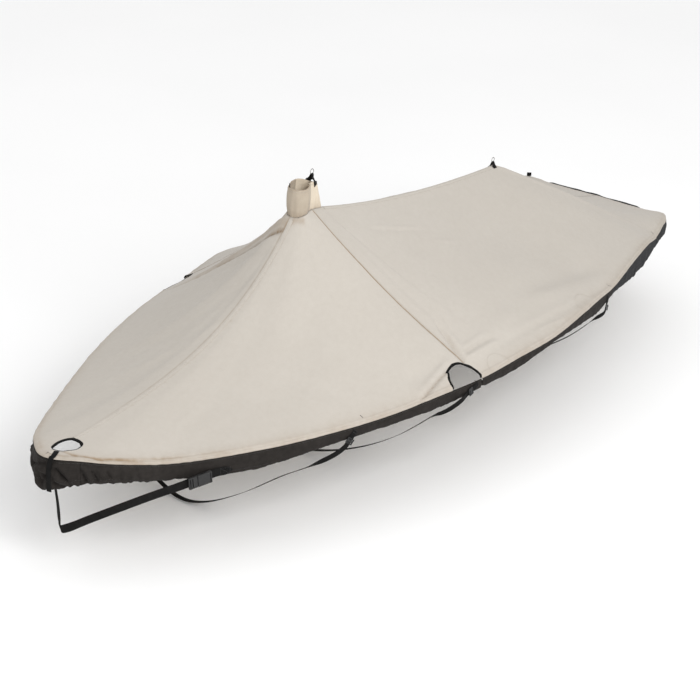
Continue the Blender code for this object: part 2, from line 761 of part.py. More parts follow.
BOW_STRAP_WIDE, BELLY_STRAP_WIDE = 0.045, 0.025
STRAP_LIFT = 0.0001
BUCKLE_LONG, BUCKLE_WIDE, BUCKLE_THICK = 0.100, 0.054, 0.013
SLOT_WIDE = 0.0036        # slots in the buckle and the adjusters
SLIT_STRAP_START_X = 0.036
SLIT_STRAP_AT = 0.027     # from the stem, along the edge

# Bow strap, port side, from its buckle forward to the stem; the other side mirrors it.
# columns: x, half_breadth, z
BOW_STRAP = (
    (0.430, 0.398, -0.108),
    (0.370, 0.362, -0.126),
    (0.300, 0.276, -0.172),
    (0.225, 0.182, -0.226),
    (0.150, 0.088, -0.281),
    (0.088, 0.020, -0.321),
)
BOW_STRAP_STEM = (0.074, 0.0, -0.327)
STEM_LEAN = Vector((-0.94, 0.0, -0.33))     # outward from the raked stem

# Belly straps: where the tab is sewn, how far the adjuster hangs below the canopy's edge,
# then the way round the hull down to the keel.
# columns: name, tab_x, forward, hang, route of (x, half_breadth, z)
BELLY_STRAPS = (
    ("fore", 1.085, 0.030, 0.052, ((0.990, 0.648, -0.132), (0.930, 0.575, -0.186),
                                   (0.868, 0.480, -0.240), (0.830, 0.300, -0.370),
                                   (0.812, 0.120, -0.470), (0.808, 0.000, -0.498))),
    ("shroud", 1.752, 0.052, 0.032, ((1.640, 0.832, -0.062), (1.600, 0.828, -0.073),
                                     (1.556, 0.806, -0.095), (1.528, 0.750, -0.132),
                                     (1.516, 0.690, -0.186), (1.508, 0.600, -0.262),
                                     (1.502, 0.440, -0.365), (1.498, 0.220, -0.462),
                                     (1.496, 0.000, -0.505))),
    ("stern", 2.958, 0.030, 0.062, ((2.862, 0.768, -0.112), (2.820, 0.715, -0.170),
                                    (2.800, 0.650, -0.228), (2.780, 0.460, -0.350),
                                    (2.768, 0.220, -0.430), (2.764, 0.000, -0.456))),
)
ON_HULL_SHARE, ON_SKIRT_SHARE = 0.93, 0.98    # of the edge's breadth: where straps turn to the skirt
ADJUSTER_LONG, ADJUSTER_WIDE, ADJUSTER_THICK = 0.026, 0.036, 0.0048


def box_part(name, size, finish, matrix, bevel):
    bm = bmesh.new()
    bmesh.ops.create_cube(bm, size=1.0)
    bmesh.ops.scale(bm, vec=size, verts=bm.verts)
    mesh = bpy.data.meshes.new(name)
    bm.to_mesh(mesh)
    bm.free()
    obj = add_part(name, mesh, finish)
    obj.location = matrix.to_translation()
    obj.rotation_euler = matrix.to_euler()
    if bevel > 0:
        mod = obj.modifiers.new("rounding", "BEVEL")
        mod.width = bevel
        mod.segments = 2
        mod.limit_method = "ANGLE"
    return obj


def box_cutter(name, size, matrix, offset):
    bm = bmesh.new()
    bmesh.ops.create_cube(bm, size=1.0)
    bmesh.ops.scale(bm, vec=size, verts=bm.verts)
    mesh = bpy.data.meshes.new(name)
    bm.to_mesh(mesh)
    bm.free()
    obj = bpy.data.objects.new(name, mesh)
    CUTTERS.objects.link(obj)
    obj.parent = BOAT
    placed = matrix @ Matrix.Translation(offset)
    obj.location = placed.to_translation()
    obj.rotation_euler = placed.to_euler()
    obj.hide_render = True
    obj.display_type = "WIRE"
    return obj


def strap_frame(origin, along, outward):
    """Placement with X along the strap, Y across it and Z outward."""
    along = along.normalized()
    across = outward.cross(along).normalized()
    outward = along.cross(across)
    rotation = Matrix((along, across, outward)).transposed()
    return Matrix.Translation(origin) @ rotation.to_4x4()


def ladder(name, frame, size, bars, slot):
    """Moulded frame with slots for webbing: a tri-glide or a buckle's ladder end."""
    obj = box_part(name, size, "black plastic", frame, min(size) * 0.3)
    long_share = size[0] / bars
    for i in range(bars):
        x = (i + 0.5) * long_share - size[0] / 2
        cut(obj, box_cutter(name + "_slot_" + str(i), (slot, size[1] - 0.010, size[2] * 3),
                            frame, Vector((x, 0.0, 0.0))))
    return obj


def side_release_buckle(frame):
    """Socket and plug of the bow strap's buckle, clicked together."""
    socket_long = BUCKLE_LONG * 0.62
    plug_long = BUCKLE_LONG - socket_long
    wall = 0.0024
    at_socket = frame @ Matrix.Translation((socket_long / 2 + GAP, 0.0, 0.0))
    socket = box_part("buckle_socket", (socket_long, BUCKLE_WIDE, BUCKLE_THICK),
                      "black plastic", at_socket, 0.0022)
    mouth = (socket_long, BUCKLE_WIDE - 4 * wall, SLOT_WIDE)
    cut(socket, box_cutter("buckle_mouth", mouth, at_socket, Vector((-socket_long * 0.42, 0, 0))))
    window = (socket_long * 0.34, wall * 6, SLOT_WIDE)
    for side in (PORT, STARBOARD):
        offset = Vector((-socket_long * 0.08, BUCKLE_WIDE / 2 * side, 0.0))
        cut(socket, box_cutter("buckle_window", window, at_socket, offset))
    bar_slot = (SLOT_WIDE, BUCKLE_WIDE - 0.012, BUCKLE_THICK * 3)
    cut(socket, box_cutter("buckle_bar_slot", bar_slot, at_socket,
                           Vector((socket_long / 2 - 0.0065, 0.0, 0.0))))
    at_plug = frame @ Matrix.Translation((-plug_long / 2 - GAP, 0.0, 0.0))
    plug = box_part("buckle_plug", (plug_long, BUCKLE_WIDE, BUCKLE_THICK * 0.8),
                    "black plastic", at_plug, 0.0022)
    for i, from_end in enumerate((0.0065, 0.0165)):
        cut(plug, box_cutter("buckle_plug_slot_" + str(i), bar_slot, at_plug,
                             Vector((from_end - plug_long / 2, 0.0, 0.0))))


def build_bow_strap():
    edge = EDGES[PORT]
    port = [Vector((x, -half, z)) for x, half, z in BOW_STRAP]
    stem = Vector(BOW_STRAP_STEM)
    starboard = [Vector((p.x, -p.y, p.z)) for p in reversed(port)]
    s_sewn = edge.girth_at_x(0.520)
    sewn = skirt_face(edge, s_sewn, 0.74, -0.0003)
    sewn_end = skirt_face(edge, edge.girth_at_x(0.575), 0.72, -0.0003)
    mirror = Vector((1.0, -1.0, 1.0))
    path = smooth_path(port + [stem] + starboard + [sewn * mirror, sewn_end * mirror], 5)
    outward = []
    for p in path:
        side = -1.0 if p.y < 0 else 1.0
        turn = min(1.0, abs(p.y) / 0.05)
        flank = Vector((-0.50, 0.84 * side, -0.20))
        outward.append((STEM_LEAN * (1.0 - turn) + flank * turn).normalized())
    ribbon("bow_strap", path, outward, [BOW_STRAP_WIDE] * len(path))

    along = (sewn - port[0]).normalized()
    face = Vector((-0.42, -0.90, -0.10)).normalized()
    tab_path = smooth_path([port[0] + along * 0.020, port[0] + along * 0.045, sewn, sewn_end], 3)
    ribbon("bow_strap_tab", tab_path, [face] * len(tab_path), [0.040] * len(tab_path))
    # the stiff buckle bridges the bend where the strap leaves the hull for the skirt
    bridging = (sewn - port[1]).normalized()
    lift = face * (WEBBING + GAP * 5 + BUCKLE_THICK / 2)
    side_release_buckle(strap_frame(port[0] - bridging * 0.010 + lift, bridging, face))


def hull_outward(path):
    """Face directions of a strap that lies on the hull's side and turns level at the keel."""
    faces = []
    for i, p in enumerate(path):
        along = path[min(i + 1, len(path) - 1)] - path[max(i - 1, 0)]
        side = PORT if p.y < 0 else STARBOARD
        edge = EDGES[side]
        foot, out, _ = edge.at(edge.girth_at_x(p.x))
        beside_edge = Vector((out.y * side, -out.x * side, 0.0))
        share = min(1.0, abs(p.y / foot.y))
        lengthwise = Vector((1.0, 0.0, 0.0)).lerp(beside_edge, share)
        face = along.cross(lengthwise).normalized()
        on_skirt = min(1.0, max(0.0, (share - ON_HULL_SHARE) / (ON_SKIRT_SHARE - ON_HULL_SHARE)))
        face = face.lerp(out, on_skirt)
        face -= along * (face.dot(along) / along.length_squared)
        faces.append(face.normalized())
    return faces


def strap_end(side, tab_x, hang, forward):
    """Sewn spot, hanging point below it and the strap's direction between them."""
    edge = EDGES[side]
    sewn = skirt_face(edge, edge.girth_at_x(tab_x), 0.28, STRAP_LIFT)
    low, out, _ = edge.at(edge.girth_at_x(tab_x - forward))
    hung = low + out * (SKIRT_BELLY + SKIRT_CLOTH + STRAP_LIFT + 0.002) - UP * hang
    return sewn, hung, (hung - sewn).normalized()


def build_belly_straps():
    reach = ADJUSTER_LONG / 2 + 0.012
    for name, tab_x, forward, hang, route in BELLY_STRAPS:
        sewn, hung, down = strap_end(PORT, tab_x, hang, forward)
        port = [Vector((x, -half, z)) for x, half, z in route]
        keel = port.pop()
        starboard = [Vector((p.x, -p.y, p.z)) for p in reversed(port)]
        far_sewn, far_hung, _ = strap_end(STARBOARD, tab_x, hang, forward)
        ends = [hung + down * 0.001, hung + down * reach]
        path = smooth_path(ends + port + [keel] + starboard + [far_hung, far_sewn], 3)
        ribbon("belly_strap_" + name, path, hull_outward(path), [BELLY_STRAP_WIDE] * len(path))

        tab_path = [sewn, hung - down * reach, hung - down * 0.001]
        ribbon("strap_tab_" + name, tab_path, hull_outward(tab_path),
               [BELLY_STRAP_WIDE] * len(tab_path))
        face = hull_outward(tab_path)[-1]
        clear = WEBBING + GAP * 1.7 + ADJUSTER_THICK / 2
        ladder("strap_adjuster_" + name, strap_frame(hung + face * clear, down, face),
               (ADJUSTER_LONG, ADJUSTER_WIDE, ADJUSTER_THICK), 2, SLOT_WIDE)


def build_slit_strap():
    """Webbing from the forestay opening, over the lip beside the stem and down the skirt."""
    edge = EDGES[PORT]
    ribs = fore_ribs(edge)
    far, near = [p for p in ribs[2] if p.x < 0.2][-4:-2]
    start = far.lerp(near, (far.x - SLIT_STRAP_START_X) / (far.x - near.x))
    _, out, _ = edge.at(SLIT_STRAP_AT)
    skirt_line = [p + out * 0.0012 for p in skirt_section(edge, SLIT_STRAP_AT)[1:4]]
    line = [start] + [p for p in ribs[3] if p.x < 0.05] + skirt_line
    across = UP.cross(out)
    path, faces = [], []
    for i, p in enumerate(line):
        along = (line[min(i + 1, len(line) - 1)] - line[max(i - 1, 0)]).normalized()
        face = along.cross(across).normalized()
        if face.dot(out + UP) < 0:
            face = -face
        path.append(p + face * (CLOTH + GAP * 1.6))
        faces.append(face)
    ribbon("slit_strap", path, faces, [0.020] * len(path))


# ---------------------------------------------------------------- lifting tabs and rings
RING_RADIUS, RING_WIRE = 0.0115, 0.0016
RIDGE_TAB_WIDE, COLLAR_TAB_WIDE, TAB_FOLD_WIDE = 0.021, 0.028, 0.006


def lifting_tab(name, ring_name, wide, legs, crest):
    """Webbing loop that straddles an edge, with a steel ring standing in its fold.

    Each leg is a list of (point, outward direction) from its sewn end up.
    """
    inner = RING_WIRE + 0.0014
    fold = []
    for i in range(7):
        a = math.pi * i / 6
        round_fold = Vector((0.0, -math.cos(a), math.sin(a)))
        fold.append((crest + round_fold * inner, round_fold))
    port_leg, starboard_leg = legs
    line = [*port_leg, *fold, *reversed(starboard_leg)]
    path = [p for p, _ in line]
    low = min(p.z for p in path)
    widths = []
    for p in path:
        risen = min(1.0, (p.z - low) / (crest.z - low))
        widths.append(wide + (TAB_FOLD_WIDE - wide) * risen ** 1.5)
    ribbon(name, path, [face for _, face in line], widths)

    bpy.ops.mesh.primitive_torus_add(major_radius=RING_RADIUS, minor_radius=RING_WIRE,
                                     major_segments=20, minor_segments=6)
    made = bpy.context.active_object
    mesh = made.data
    bpy.data.objects.remove(made, do_unlink=True)
    mesh.shade_smooth()
    ring = add_part(ring_name, mesh, "steel")
    ring.location = crest + UP * (inner - RING_WIRE - GAP * 2 + RING_RADIUS)
    ring.rotation_euler = (math.radians(90.0), 0.0, 0.0)


def build_lifting_tabs():
    ridge = ridge_point(1.0, PORT)
    x = ridge.x - RIDGE_TAB_WIDE / 2 - 0.002
    legs = []
    for side, word in ((PORT, "port"), (STARBOARD, "starboard")):
        panel = bpy.data.objects["canopy_aft_" + word]
        leg = []
        for y in (0.026, 0.014):
            hit, normal = drop_onto(panel, Vector((x, y * side, 1.0)), -UP)
            leg.append((hit + normal * (CLOTH + GAP * 2), normal))
        leg.append((Vector((x, 0.0052 * side, ridge.z + 0.006)), Vector((0.0, side, 0.6)).normalized()))
        legs.append(leg)
    crest = Vector((x, 0.0, ridge.z + 0.020))
    lifting_tab("ridge_tab", "ridge_ring", RIDGE_TAB_WIDE, legs, crest)

    legs = []
    t = 0.84
    for side in (PORT, STARBOARD):
        leg = []
        for up in (0.88, 1.0):
            spot = collar_point(t, side, up)
            along = collar_point(t + 0.05, side, up) - collar_point(t - 0.05, side, up)
            face = Vector((along.y, -along.x, 0.0)).normalized()
            face *= 1.0 if face.y * side > 0 else -1.0
            leg.append((spot + face * (CLOTH + GAP * 3), face))
        above = leg[-1][0] + UP * 0.012
        leg.append((above, face))
        closing = Vector((above.x, above.y * 0.6, above.z + 0.009))
        leg.append((closing, face))
        legs.append(leg)
    crest = Vector((spot.x + 0.002, 0.0, spot.z + 0.032))
    lifting_tab("collar_tab", "collar_ring", COLLAR_TAB_WIDE, legs, crest)


FRONT_TAB_T = 0.17        # on the far side of the collar's front
FRONT_TAB_WIDE, FRONT_TAB_IN, FRONT_TAB_UP = 0.012, 0.010, 0.016
TIE_TAB_HALF, TIE_TAB_HIGH, TIE_TAB_WIDE = 0.0018, 0.018, 0.024
TIE_TAB_X = 4.190


def build_small_tabs():
    """Drawcord end at the collar's front and a tie tab at the starboard quarter."""
    spot = collar_point(FRONT_TAB_T, STARBOARD, up=1.0, swell=-WEBBING - GAP * 3)
    centre = Vector((collar_section_centre(1.0), 0.0, spot.z))
    face = (spot - centre).normalized()
    path = [spot - UP * FRONT_TAB_IN, spot, spot + UP * FRONT_TAB_UP]
    ribbon("collar_front_tab", path, [face] * 3, [FRONT_TAB_WIDE] * 3)

    edge = EDGES[STARBOARD]
    foot, out, _ = edge.at(edge.girth_at_x(TIE_TAB_X))
    base = foot - out * LIP_INSET + UP * (LIP_HEIGHT + CLOTH * 1.85)
    loop = []
    for i in range(9):
        a = math.pi * i / 8
        loop.append(base + out * (TIE_TAB_HALF * math.cos(a)) + UP * (TIE_TAB_HIGH * math.sin(a)))
    faces = []
    for i in range(len(loop)):
        along = loop[min(i + 1, len(loop) - 1)] - loop[max(i - 1, 0)]
        side_way = out.cross(UP)
        faces.append(side_way.cross(along).normalized())
    if faces[4].z < 0:
        faces = [-f for f in faces]
    ribbon("quarter_tie_tab", loop, faces, [TIE_TAB_WIDE] * len(loop))


def collar_section_centre(up):
    return table_row(COLLAR, up)[0]


# ---------------------------------------------------------------- build
clear_scene()
PARTS = make_collection("boat_cover")
CUTTERS = make_collection("cutters")
CUTTERS.hide_render = True
BOAT = bpy.data.objects.new("boat_frame", None)
PARTS.objects.link(BOAT)
EDGES = {PORT: EdgeLine(PORT), STARBOARD: EdgeLine(STARBOARD)}
HANG_K = (HANG_X - collar_point(1.0, PORT, swell=COLLAR_CLEAR).x)
HANG_K /= RIDGE_END_X - collar_point(1.0, PORT, swell=COLLAR_CLEAR).x
BOAT.location = (-HANG_X, 0.0, -ridge_point(HANG_K, PORT).z)

build_canopy()
build_collar()
build_skirt()
build_bow_strap()
build_belly_straps()
build_slit_strap()
build_lifting_tabs()
build_small_tabs()
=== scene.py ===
import math

import bpy
import numpy as np
from mathutils import Matrix, Vector, noise
from mathutils.bvhtree import BVHTree


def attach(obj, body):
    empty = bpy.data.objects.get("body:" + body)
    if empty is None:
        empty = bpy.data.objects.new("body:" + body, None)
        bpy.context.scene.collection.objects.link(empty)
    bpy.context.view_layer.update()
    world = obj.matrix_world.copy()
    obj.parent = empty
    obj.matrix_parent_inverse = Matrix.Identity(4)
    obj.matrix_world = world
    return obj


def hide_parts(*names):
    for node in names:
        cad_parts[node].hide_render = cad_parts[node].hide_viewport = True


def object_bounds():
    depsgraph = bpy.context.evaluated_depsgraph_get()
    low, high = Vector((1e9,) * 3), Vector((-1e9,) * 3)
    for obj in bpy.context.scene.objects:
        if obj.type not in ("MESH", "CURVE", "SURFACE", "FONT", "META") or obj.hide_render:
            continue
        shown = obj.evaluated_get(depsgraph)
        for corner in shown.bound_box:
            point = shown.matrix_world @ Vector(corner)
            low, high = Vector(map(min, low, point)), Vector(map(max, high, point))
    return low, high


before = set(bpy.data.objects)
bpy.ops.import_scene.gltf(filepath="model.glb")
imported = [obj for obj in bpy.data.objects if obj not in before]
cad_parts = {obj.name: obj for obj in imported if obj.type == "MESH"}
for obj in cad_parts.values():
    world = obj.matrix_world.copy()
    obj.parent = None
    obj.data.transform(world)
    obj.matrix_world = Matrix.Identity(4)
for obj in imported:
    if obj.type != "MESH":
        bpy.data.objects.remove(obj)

CAD_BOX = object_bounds()

# ---------------------------------------------------------------- sizes, in boat coordinates
# x runs aft from the stem, port is -y, z = 0 is the gunwale amidships; all in metres.
CLOTH, SKIRT_CLOTH, WEBBING, GAP = 0.0020, 0.0016, 0.0018, 0.0004
UP = np.array((0.0, 0.0, 1.0))
PORT, STARBOARD = -1, 1
WORDS = {PORT: "port", STARBOARD: "starboard"}

LIP_HEIGHT, LIP_HEIGHT_BOW, LIP_FULL_AT, LIP_INSET = 0.020, 0.003, 0.400, 0.014
RIDGE_END_X, RIDGE_END_Z = 3.120, 0.398
SIDE_SEAM_X, QUARTER_X, HANG_X = 1.765, 3.880, 1.960
SKIRT_STRIP = 0.105

# columns: x, half_breadth, height, drop
EDGE = (
    (-0.014, 0.000, 0.026, 0.145), (-0.007, 0.034, 0.026, 0.141), (0.014, 0.068, 0.024, 0.130),
    (0.060, 0.124, 0.020, 0.106), (0.126, 0.187, 0.006, 0.090), (0.336, 0.316, -0.034, 0.075),
    (0.672, 0.495, -0.045, 0.085), (0.950, 0.620, -0.040, 0.056), (1.250, 0.727, -0.029, 0.048),
    (1.550, 0.798, -0.015, 0.058), (1.800, 0.832, -0.016, 0.046), (2.050, 0.856, 0.000, 0.052),
    (2.310, 0.866, 0.006, 0.026), (2.620, 0.836, 0.013, 0.052), (2.850, 0.795, 0.003, 0.068),
    (3.050, 0.757, -0.010, 0.036), (3.350, 0.690, 0.004, 0.088), (3.680, 0.602, -0.016, 0.096),
    (3.880, 0.540, -0.058, 0.052), (4.020, 0.500, -0.046, 0.070), (4.150, 0.452, -0.052, 0.086),
    (4.203, 0.400, -0.062, 0.088), (4.213, 0.290, -0.073, 0.084), (4.218, 0.100, -0.075, 0.080),
    (4.220, 0.000, -0.073, 0.080),
)
STARBOARD_EVENNESS, STARBOARD_LOW = 0.55, 0.020
STARBOARD_RISE = {2.050: 0.008, 2.310: -0.028, 2.620: -0.012}

# columns: share_of_height, front_centre_x, front_radius, aft_x
COLLAR = (
    (0.00, 1.538, 0.0430, 1.694), (0.25, 1.539, 0.0480, 1.686), (0.50, 1.540, 0.0495, 1.676),
    (0.78, 1.542, 0.0490, 1.665), (1.00, 1.543, 0.0460, 1.654),
)
# columns: share_of_side, base_z, top_z
COLLAR_HEIGHTS = (
    (0.00, 0.580, 0.706), (0.16, 0.582, 0.705), (0.34, 0.590, 0.708), (0.54, 0.596, 0.724),
    (1.00, 0.571, 0.696),
)
COLLAR_FIN, COLLAR_TURN_T, COLLAR_TURN, COLLAR_SEAM_T = 0.0050, 0.44, math.radians(100.0), 0.53
COLLAR_CLEAR = CLOTH + 0.0009
SIDE_SEAM_T, COLLAR_SHARE = 0.62, 0.12

RIDGE_SAG = 0.036
FACET_FALL = ((0.00, 0.000), (0.16, 0.036), (0.46, 0.050), (1.00, 0.034))     # behind the stern crease
BEND_FORE, BEND_FORE_MID, BEND_SIDE, BEND_AFT, BEND_CREASE, BEND_STERN = 2.20, 1.70, 0.55, 0.70, -0.36, 0.25
CENTRE_RIDGE, CENTRE_RIDGE_WIDE = 0.006, 0.070

# Folds: a ridge (or trough, if negative) between two points of one side, in plan.
# columns: x_from, y_from, x_to, y_to, width, height
BROAD_FOLDS = {
    PORT: (
        (1.470, 0.690, 1.640, 0.700, 0.034, -0.014), (2.560, 0.690, 2.980, 0.700, 0.050, 0.016),
        (2.480, 0.610, 2.960, 0.630, 0.060, -0.010), (1.860, 0.740, 2.200, 0.700, 0.045, 0.010),
        (0.900, 0.360, 1.250, 0.300, 0.110, -0.010), (2.150, 0.300, 2.850, 0.360, 0.160, -0.008),
    ),
    STARBOARD: (
        (1.600, 0.090, 1.730, 0.720, 0.022, 0.004), (2.000, 0.620, 2.650, 0.560, 0.090, -0.012),
    ),
}

# Openings
FORESTAY_OUTLINE = (
    (0.0370, 0.0060), (0.0480, 0.0185), (0.0700, 0.0255), (0.0980, 0.0275), (0.1240, 0.0185),
    (0.1410, 0.0005), (0.1485, -0.0240), (0.1450, -0.0500), (0.1280, -0.0635), (0.1030, -0.0640),
    (0.0780, -0.0520), (0.0580, -0.0330), (0.0420, -0.0130),
)
FORESTAY_CENTRE = (0.096, -0.020)
SHROUD_X = 1.686
# columns: along, up
SHROUD_OUTLINE = (
    (-0.094, 0.018), (-0.082, 0.046), (-0.058, 0.078), (-0.024, 0.100), (0.016, 0.113),
    (0.050, 0.110), (0.076, 0.092), (0.091, 0.062), (0.094, 0.034), (0.093, 0.018),
)
SHROUD_CENTRE = (0.010, 0.050)
SHROUD_LEAN = (0.0, 0.64, 0.77)
# The cloth is cut back outside an opening's line, and the binding's middle lies inside it.
HOLE_GROW, SHROUD_FOOT, BINDING_RADIUS = 0.0020, -0.020, 0.0035
FORESTAY_BIND, SHROUD_BIND = -0.0030, -0.0020
SLIT_X, BOW_CAP_X, SKIRT_JOINT_X, SKIRT_STERN_X = 1.782, 0.058, 3.030, 3.880




# ---------------------------------------------------------------- curves through tables
def unit(v):
    return v / np.maximum(np.linalg.norm(v, axis=-1, keepdims=True), 1e-12)


def ramp(x, width=1.0):
    return np.clip(x / width, 0, 1)


def bell(x, width):
    return np.exp(-((x / width) ** 2))


def spline(points, steps):
    """Centripetal Catmull-Rom curve through points, its knots spaced in plan."""
    p = np.array(points, float)
    p = np.concatenate((2 * p[:1] - p[1:2], p, 2 * p[-1:] - p[-2:-1]))
    gaps = np.maximum(np.linalg.norm(np.diff(p[:, :2], axis=0), axis=1) ** 0.5, 1e-4)
    out = []
    for i in range(len(p) - 3):
        p0, p1, p2, p3 = p[i:i + 4]
        t1, t2, t3 = np.cumsum(gaps[i:i + 3])
        t = (t1 + (t2 - t1) * np.arange(steps) / steps)[:, None]

        def lerp(a, b, from_t, to_t):
            return a + (b - a) * ((t - from_t) / (to_t - from_t))

        middle = lerp(p1, p2, t1, t2)
        before = lerp(lerp(p0, p1, 0.0, t1), middle, 0.0, t2)
        after = lerp(middle, lerp(p2, p3, t2, t3), t1, t3)
        out.extend(lerp(before, after, t1, t2))
    return np.array(out + [p[-2]])


def run_of(path):
    """Distance run at each point of a path."""
    return np.concatenate(([0.0], np.cumsum(np.linalg.norm(np.diff(path, axis=0), axis=1))))


def read_at(spots, run, table):
    """Columns of a table read at spots along run."""
    return np.stack([np.interp(spots, run, column) for column in np.transpose(table)], -1)


def resample(path, step, *others):
    """Path at even steps of its own length, with other columns carried along."""
    run = run_of(path)
    spots = np.linspace(0.0, run[-1], max(2, int(round(run[-1] / step)) + 1))
    made = [read_at(spots, run, data) for data in (path, *others)]
    return made if others else made[0]


def evened(side):
    """Edge table for one side; the starboard edge's waves are gentler."""
    if side == PORT:
        return EDGE
    rows = [EDGE[0]]
    for before, (x, half, height, drop), after in zip(EDGE, EDGE[1:], EDGE[2:]):
        mean_height, mean_drop = (before[2] + after[2]) / 2, (before[3] + after[3]) / 2
        low = STARBOARD_LOW * bell(x - 1.45, 0.60) - STARBOARD_RISE.get(x, 0.0)
        rows.append((x, half, mean_height + (height - mean_height) * STARBOARD_EVENNESS - low,
                     mean_drop + (drop - mean_drop) * STARBOARD_EVENNESS))
    return rows + [EDGE[-1]]


class Edge:
    """The gunwale edge of one side, looked up by distance along it from the stem."""

    def __init__(self, side):
        self.side = side
        self.rows = spline(evened(side), 12)
        self.s = run_of(self.rows[:, :2])
        self.length = self.s[-1]
        along = np.gradient(self.rows[:, :2], self.s, axis=0)
        along[0], along[-1] = (0.0, 1.0), (0.0, -1.0)
        along = unit(along)
        self.out = np.stack((-along[:, 1], along[:, 0] * side, 0 * along[:, 0]), 1)

    def girth_at_x(self, x):
        return float(np.interp(x, self.rows[:, 0], self.s))

    def at(self, s):
        """Points on the edge, outward directions in plan, and the skirt's drop."""
        s = np.clip(np.atleast_1d(np.asarray(s, float)), 0.0, self.length)
        x, half, z, drop = read_at(s, self.s, self.rows).T
        return np.stack((x, half * self.side, z), 1), unit(read_at(s, self.s, self.out)), drop


EDGES = {PORT: Edge(PORT), STARBOARD: Edge(STARBOARD)}
SMOOTH_COLLAR, SMOOTH_HEIGHTS = spline(COLLAR, 8).T, spline(COLLAR_HEIGHTS, 8).T


def edge_at(side, s):
    return [found[0] for found in EDGES[side].at(s)]


def edge_at_x(side, x):
    return edge_at(side, EDGES[side].girth_at_x(x))


def collar_point(t, side, up=0.0, swell=0.0):
    """Points of the collar: t runs from 0 at the front to 1 at the fin's aft edge."""
    t, up = np.broadcast_arrays(np.asarray(t, float), np.asarray(up, float))
    centre_x, radius, aft_x = (np.interp(up, SMOOTH_COLLAR[0], c) for c in SMOOTH_COLLAR[1:])
    base_z, top_z = (np.interp(t, SMOOTH_HEIGHTS[0], c) for c in SMOOTH_HEIGHTS[1:])
    angle = COLLAR_TURN * np.minimum(t / COLLAR_TURN_T, 1.0)
    x = centre_x - (radius + swell) * np.cos(angle)
    y = (radius + swell) * np.sin(angle)
    k = np.maximum(0.0, (t - COLLAR_TURN_T) / (1.0 - COLLAR_TURN_T))
    x = x + (aft_x + swell - x) * k
    y = y + (COLLAR_FIN + swell - y) * k ** 0.8
    return np.stack((x, y * side, base_z + (top_z - base_z) * up), -1)


def ridge_point(k, side):
    """Points of the aft ridge, k from 0 at the collar to 1 at the ridge tab."""
    k = np.asarray(k, float)
    start = collar_point(1.0, side, swell=COLLAR_CLEAR)
    x = start[0] + (RIDGE_END_X - start[0]) * k
    z = start[2] + (RIDGE_END_Z - start[2]) * k - RIDGE_SAG * 4 * k * (1 - k) * (1.15 - 0.3 * k)
    return np.stack((x, np.full_like(x, GAP / 2 * side), z), -1)


RIDGE_START_X = collar_point(1.0, PORT, swell=COLLAR_CLEAR)[0]
HANG_K = (HANG_X - RIDGE_START_X) / (RIDGE_END_X - RIDGE_START_X)
BOAT = np.array((-HANG_X, 0.0, -float(ridge_point(HANG_K, PORT)[2])))


# ---------------------------------------------------------------- noise and folds
def noisy(points, size, seed=0.0):
    """Smooth noise of about -1 to 1, one value a point; size is the pattern's size."""
    flat = np.asarray(points, float).reshape(-1, 3) / size + seed * 7.31
    values = [noise.noise(Vector(p)) for p in flat.tolist()]
    return np.array(values).reshape(np.asarray(points).shape[:-1]) * 1.6


def noisy_line(values, size, seed):
    """Smooth noise along one coordinate."""
    grid = np.arange(values.min() - size, values.max() + size, size / 6)
    made = [noise.noise(Vector((g / size, seed * 3.17, seed))) * 1.6 for g in grid]
    return np.interp(values, grid, made)


def fold_field(folds, x, y, ends_reach):
    """Soft folds at x, y, each drawn between two points and fading out beyond its ends."""
    lift = np.zeros(np.broadcast(x, y).shape)
    for ax, ay, bx, by, width, height in folds:
        ux, uy = bx - ax, by - ay
        k = ((x - ax) * ux + (y - ay) * uy) / (ux * ux + uy * uy)
        over = np.maximum(0.0, np.maximum(-k, k - 1.0))
        across = np.hypot(x - ax - ux * k, y - ay - uy * k)
        lift += height * bell(over, ends_reach) * bell(across, width)
    return lift


def blend_bend(k, *stops):
    """Bend of the ribs, eased from stop to stop as k runs from 0 to 1."""
    spot = ramp(np.asarray(k, float)) * (len(stops) - 1)
    i = np.minimum(spot.astype(int), len(stops) - 2)
    f = (spot - i) ** 2 * (3 - 2 * (spot - i))
    stops = np.array(stops)
    return stops[i] + (stops[i + 1] - stops[i]) * f


# ---------------------------------------------------------------- canopy surfaces
LIP_STEPS, RIB_POINTS = 10, 240


def rib_surface(side, s, head, bend, v):
    """Grid of the canopy's inner face: ribs along the edge, points from head to gunwale."""
    foot, out, _ = EDGES[side].at(s)
    share = np.minimum(1.0, s / LIP_FULL_AT)[:, None]
    lip = LIP_HEIGHT_BOW + (LIP_HEIGHT - LIP_HEIGHT_BOW) * share ** 1.5
    turn = foot - out * LIP_INSET + UP * lip
    steep = (bend * np.hypot(turn[:, 0] - head[:, 0], turn[:, 1] - head[:, 1]))[:, None]
    steep = np.where(np.abs(steep) < 1e-3, 1e-3, steep)
    left = (np.exp(-steep * v) - np.exp(-steep)) / (1.0 - np.exp(-steep))
    x, y = (head[:, c:c + 1] + (turn[:, c:c + 1] - head[:, c:c + 1]) * v for c in (0, 1))
    z = turn[:, 2:] + (head[:, 2:] - turn[:, 2:]) * left
    z = z + fold_field(BROAD_FOLDS[side], x, np.abs(y), 0.25) * np.sqrt(np.sin(np.pi * ramp(v)))
    a = (np.arange(1, LIP_STEPS + 1) / LIP_STEPS * (math.pi / 2))[None, :, None]
    lip_part = foot[:, None] - out[:, None] * LIP_INSET * (1 - np.sin(a))
    lip_part = lip_part + UP * (lip[:, :, None] * np.cos(a) + GAP / 2)
    return np.concatenate((np.stack((x, y, z), -1), lip_part), axis=1)


